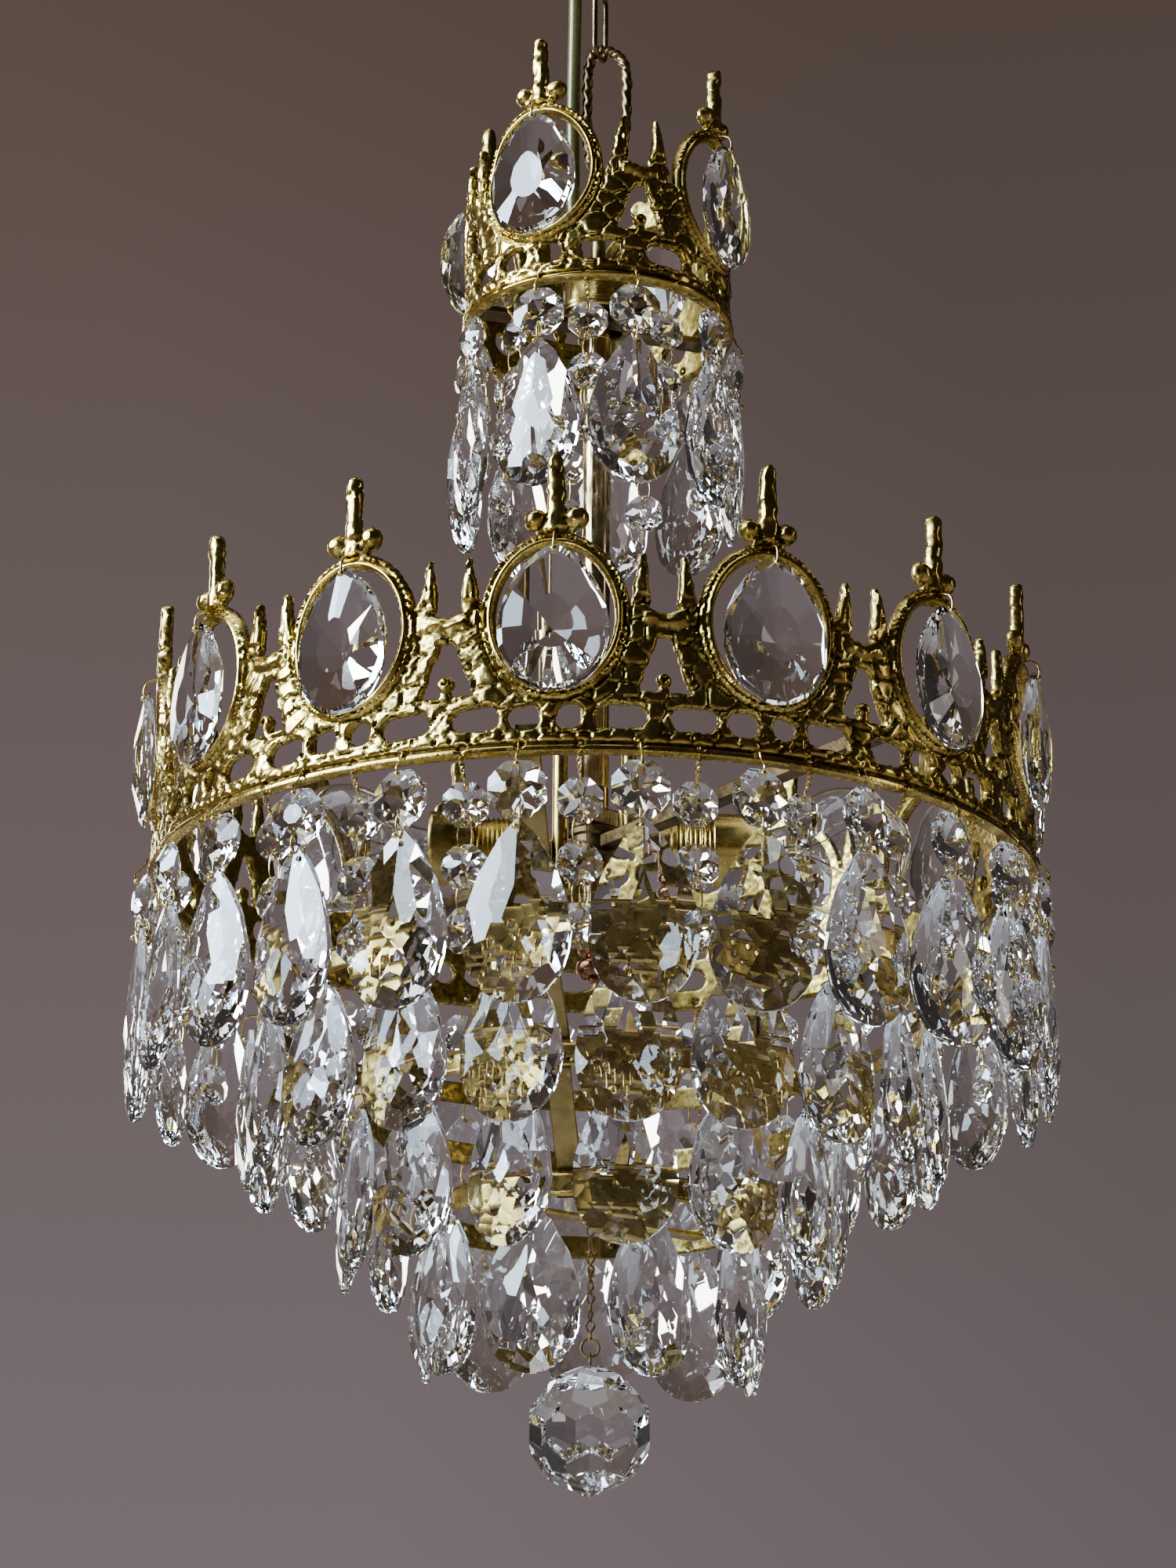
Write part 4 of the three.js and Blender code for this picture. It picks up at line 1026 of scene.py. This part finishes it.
def lamp(side, turn):
    """A lamp on its arm. Its turned parts are drawn upright, and laid along X before the turn."""
    bulb = "bulb_" + side

    def put(name, shape, material, part=None, smooth=35, body="chandelier", lay=True):
        shape = shape.turned("Y", 90).moved(z=LAMP_Z) if lay else shape
        stands_for = f"{part}_{side}" if part else None
        piece(f"{name}_{side}", shape.turned("Z", turn), material, stands_for, smooth, body)

    route = spline([(8.6, 0, 4.4), (10.4, 0, 4.2), (11.8, 0, 6.4), (12, 0, 11), (12, 0, 20),
        (12, 0, 38), (12, 0, 56)], 8)
    put("lamp_arm_tube", sweep(route, 2.6, 18), sheet_brass, "lamp_arm", 40, lay=False)
    holder = [(0, 14.9), (3.6, 14.9), (4, 15.3), (4, 16.4), (6.2, 17.2), (8, 19), (8.8, 22),
        (9.2, 26.4), (10.2, 27.2), (10.4, 28.6), (9.8, 29)]
    for z in [29.4 + k * 1.66 for k in range(7)]:
        holder += [(10.3, z), (10.9, z + 0.25), (11.2, z + 0.65), (10.9, z + 1.05), (10.3, z + 1.3)]
    put("lampholder_ridged", lathe(holder + [(10.3, 41.0), (0, 41.0)], 56), sheet_brass, "lampholder")
    sleeve = lathe([(11.4, 41.3), (12.7, 41.3), (13, 41.7), (13, 55), (13.25, 55.4), (13.25, 56.4),
        (12.9, 57), (11.7, 57), (11.4, 56.6)], 56, True)
    put("lamp_sleeve_smooth", sleeve, sheet_brass, "lamp_sleeve")
    outer = [(6.9, 55.5), (7.0, 58.0), (7.6, 61.0)] + [
        (BULB_RADIUS * sin(radians(a)), BULB_CENTRE + BULB_RADIUS * cos(radians(a)))
        for a in np.linspace(156, 2.5, 40)]
    inner = [(r - WALL if r > 2 else r * 0.75, z - 0.5 * max(0.0, (z - BULB_CENTRE) / BULB_RADIUS))
             for r, z in outer]
    shell = lathe(outer + [(0, BULB_CENTRE + BULB_RADIUS)], 56)
    hollow_shell = lathe(inner + [(0, BULB_CENTRE + BULB_RADIUS - WALL)], 56)
    put("bulb_glass", joined([shell, hollow_shell.flipped()]), lamp_glass, "bulb", 60, bulb)
    threads = [(0, 42.0), (2.6, 42.0), (3.6, 43.0), (6.0, 43.6)]
    for z in [44.2 + k * 2.1 for k in range(5)]:
        threads += [(6.0, z), (6.7, z + 0.8), (6.0, z + 1.6)]
    cap = lathe(threads + [(6.9, 54.8), (7.15, 55.2), (7.15, 57.2), (6.8, 57.4), (0, 57.4)], 32)
    put("bulb_cap", cap, chain_brass, body=bulb)
    mount = lathe([(0, 57.5), (5.0, 57.5), (3.4, 60.0), (2.0, 66.0), (1.8, 72.0), (0, 73.0)], 24)
    put("bulb_mount", mount, lamp_glass, None, 50, bulb)
    wires = []
    for x in (-1, 1):
        wire = spline([(x * 1.0, 0, 66), (x * 2.2, 0, 76), (x * 8.0, 0, 87), (x * 8.6, 0, 89)], 6)
        wires.append(sweep(wire, 0.22, 6))
    t = np.linspace(0, 1, 241)
    bow = np.stack([-8.6 + 17.2 * t, 1.2 * np.sin(t * pi), 89 + 1.6 * np.sin(t * pi)], 1)
    coil = bow + 0.38 * np.stack([0 * t, np.cos(t * 30 * TAU), np.sin(t * 30 * TAU)], 1)
    wires.append(sweep(coil, 0.13, 5))
    put("bulb_filament", joined(wires), tungsten, None, 60, bulb)


lamp("right", 0)
lamp("left", 180)

# ---- loop, cap, grip, chain, hook, plate ----
loop_line = spline([(0, 0, 335.7), (3.4, 0, 335.4), (7.8, 0, 332.4), (10, 0, 326), (10.1, 0, 314),
    (9.6, 0, 300), (6, 0, 288), (1, 0, 283), (-3.2, 0, 288), (-4.5, 0, 300), (-4.6, 0, 314),
    (-4.4, 0, 326), (-2.6, 0, 334.2)], 14, True)


def rope(share, angle):
    return 1.7 + 0.34 * np.sin(3 * angle + share * 30 * TAU) + 0.18 * np.sin(angle + share * 17 * TAU)


shank = lathe([(0, 236.3), (4.2, 236.3), (4.6, 236.8), (4.6, 238.6), (4.1, 239.2), (3.5, 240.2),
    (3.9, 241.4), (3.4, 242.6), (2.9, 246), (2.6, 256), (2.7, 266), (3.1, 268), (2.7, 270), (2.5, 276),
    (2.9, 279), (2.4, 282), (0, 283.4)], 32)
loop = joined([sweep(loop_line, rope, 16, True), shank])
piece("suspension_loop_roped", loop, chain_brass, "suspension_loop", 60)
stem_cap = lathe([(0, 222.3), (13.4, 222.3), (14, 222.9), (14, 223.8), (13.6, 224.1), (14, 224.4),
    (14, 225.6), (13.4, 226.2), (13.1, 228.6), (13, 234.6), (12.5, 235.7), (11.8, 236), (0, 236)], 64)
piece("stem_cap_turned", stem_cap, sheet_brass, "stem_cap", 30)
grip = lathe([(2.8, 236.3), (3.8, 236.3), (4, 236.6), (4, 238.2), (3.7, 238.5), (4, 238.8), (4, 240.4),
    (3.7, 240.7), (3.9, 241), (3.6, 242.2), (3.1, 242.5), (2.8, 242.4)], 32, True).moved(x=FLEX_X)
piece("flex_grip_ring", grip, sheet_brass, "flex_grip", 35)


def weld(share, angle):
    """A link's wire, a little thicker where its ends are joined."""
    return 1.0 + 0.16 * np.exp(-((share - 0.93) / 0.012) ** 2)


def link(which, turn, body):
    """half is the top arc and one side; its mirror closes the link."""
    low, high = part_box("chain_link_" + which)
    half = [(5 * cos(a), 0, 10 + 5 * sin(a)) for a in np.linspace(0, pi, 14)]
    half += [(-5, 0, 10 - 20 * k / 6) for k in range(1, 6)]
    path = np.array(half + [(-x, 0, -z) for x, _, z in half])
    shape = sweep(path, weld, 12, True).turned("Z", turn).moved(z=((low.z + high.z) / 2 - RIM) / MM)
    name = "chain_link_" + which
    piece(name + "_wire", shape, chain_brass, name, 60, body)


link("lower", LINK_TURN, "chandelier")
link("upper", LINK_TURN - 90, "chain")
HOOK_CENTRE = 393.3
hook_turn = np.radians(np.linspace(40, 360, 48))
hook_path = [(6.5 * sin(a), 0, HOOK_CENTRE + 6.5 * cos(a)) for a in hook_turn]
hook_wire = sweep(hook_path + [(0.0, 0, HOOK_CENTRE + 8.5)], 1.5, 14).turned("Z", LINK_TURN)
hook_nut = lathe([(0, 398.6), (1.8, 398.6), (2.1, 399.4), (2.1, 403.8), (5.4, 404.2), (6, 404.8),
    (6, 407.2), (5.6, 407.7), (0, 407.7)], 6)
piece("ceiling_hook_wire", joined([hook_wire, hook_nut]), chain_brass, "ceiling_hook", 40, "ceiling")
plate = lathe([(0, 408), (13.4, 408), (14, 408.3), (14.6, 409.2), (17, 409.4), (18.2, 409.9),
    (24, 410.9), (30, 411.6), (32.6, 412.6), (34, 414.1), (36, 414.5), (40, 415), (42.4, 415.6),
    (44.2, 416.3), (45, 417.4), (45, 419.6), (44.7, 420), (0, 420)], 72)
screw = lathe([(0, 409.6), (1.4, 409.7), (2.1, 410.2), (2.2, 411.6), (0, 411.8)], 20)
plate = joined([plate, screw.moved(-24), screw.moved(24)])
piece("ceiling_plate_stepped", plate, sheet_brass, "ceiling_plate", 25, "ceiling")

# ---- surroundings ----
world = bpy.data.worlds.new("room")
scene.world = world
world.use_nodes = True
room = world.node_tree
facing = node(room, "SeparateXYZ", {"Vector": node(room, "TexCoord", {})["Generated"]})
light_path = node(room, "LightPath", {})
wall = mix_colour(room, spread(room, facing["Z"], 0.0, 1.0, 0.05, 0.60),
                  (0.200, 0.170, 0.180), (0.112, 0.078, 0.062))
toward = sums(room, "MULTIPLY_ADD", facing["X"], -1.4, facing["Y"])  # the wall is behind the object
seen = sums(room, "MULTIPLY", light_path["Is Camera Ray"], 0.75)
wall_share = sums(room, "MAXIMUM", spread(room, toward, 0.0, 1.0, -0.3, 1.08), seen)
paint = mix_colour(room, wall_share, (0.034, 0.030, 0.028), wall)
spill = sums(room, "MULTIPLY_ADD", light_path["Is Diffuse Ray"], 3.0, 1.0)  # the walls light the floor more
fill(room, room.nodes["Background"], {"Color": paint, "Strength": spill})

FLOOR_HALF, FLOOR_DROP = 40.0, 1.9  # metres
floor_mesh = bpy.data.meshes.new("floor")
floor_z = cad_box[0].z - FLOOR_DROP
corners = [(x * FLOOR_HALF, y * FLOOR_HALF, floor_z) for x, y in ((-1, -1), (1, -1), (1, 1), (-1, 1))]
floor_mesh.from_pydata(corners, [], [(0, 1, 2, 3)])
floor = bpy.data.objects.new("floor", floor_mesh)
scene.collection.objects.link(floor)
floor_paint, tree, shader = new_material("floor_paint")
paint = mix_colour(tree, noise(tree, 2.0), (0.72, 0.76, 0.80), (0.77, 0.81, 0.85))
fill(tree, shader, {"Base Color": paint, "Roughness": 0.8})
floor_mesh.materials.append(floor_paint)

DAYLIGHT, SOFT_WHITE = (0.68, 0.84, 1.0), (1.0, 0.97, 0.92)
LIGHTS = [  # name, place in metres from the rim's middle, size, watts, colour; each points at the middle
    ("window_near", (-1.35, -1.35, 1.05), (0.36, 1.3), 21, DAYLIGHT),
    ("window_middle", (-1.68, -0.92, 1.00), (0.36, 1.3), 36, DAYLIGHT),
    ("window_far", (-1.93, -0.40, 0.95), (0.42, 1.4), 60, DAYLIGHT),
    ("ceiling_panel", (-0.5, -0.2, 1.75), (1.2, 1.2), 8, (0.88, 0.94, 1.0)),
    ("low_fill", (-1.0, -1.6, -1.0), (0.45, 0.45), 5, (0.84, 0.92, 1.0)),
    ("back_strip", (-0.9, 1.5, 0.4), (0.35, 1.2), 8, SOFT_WHITE),
    ("right_strip", (1.7, -0.5, 0.3), (0.18, 1.0), 1.6, SOFT_WHITE),
]
for name, at, size, watts, colour in LIGHTS:
    lamp_data = bpy.data.lights.new(name, "AREA")
    lamp_data.shape = "RECTANGLE"
    lamp_data.size, lamp_data.size_y = size
    lamp_data.energy = watts
    lamp_data.color = colour
    made = bpy.data.objects.new(name, lamp_data)
    scene.collection.objects.link(made)
    made.location = Vector(at) + Vector((0, 0, RIM))
    made.rotation_mode = "QUATERNION"
    made.rotation_quaternion = (-Vector(at)).to_track_quat("-Z", "Y")

# Light caught inside a crystal turns many corners before it leaves.
scene.cycles.max_bounces = 24
scene.cycles.glossy_bounces = 14
scene.cycles.transmission_bounces = 20
scene.view_settings.view_transform = "AgX"
scene.view_settings.look = "AgX - Medium High Contrast"
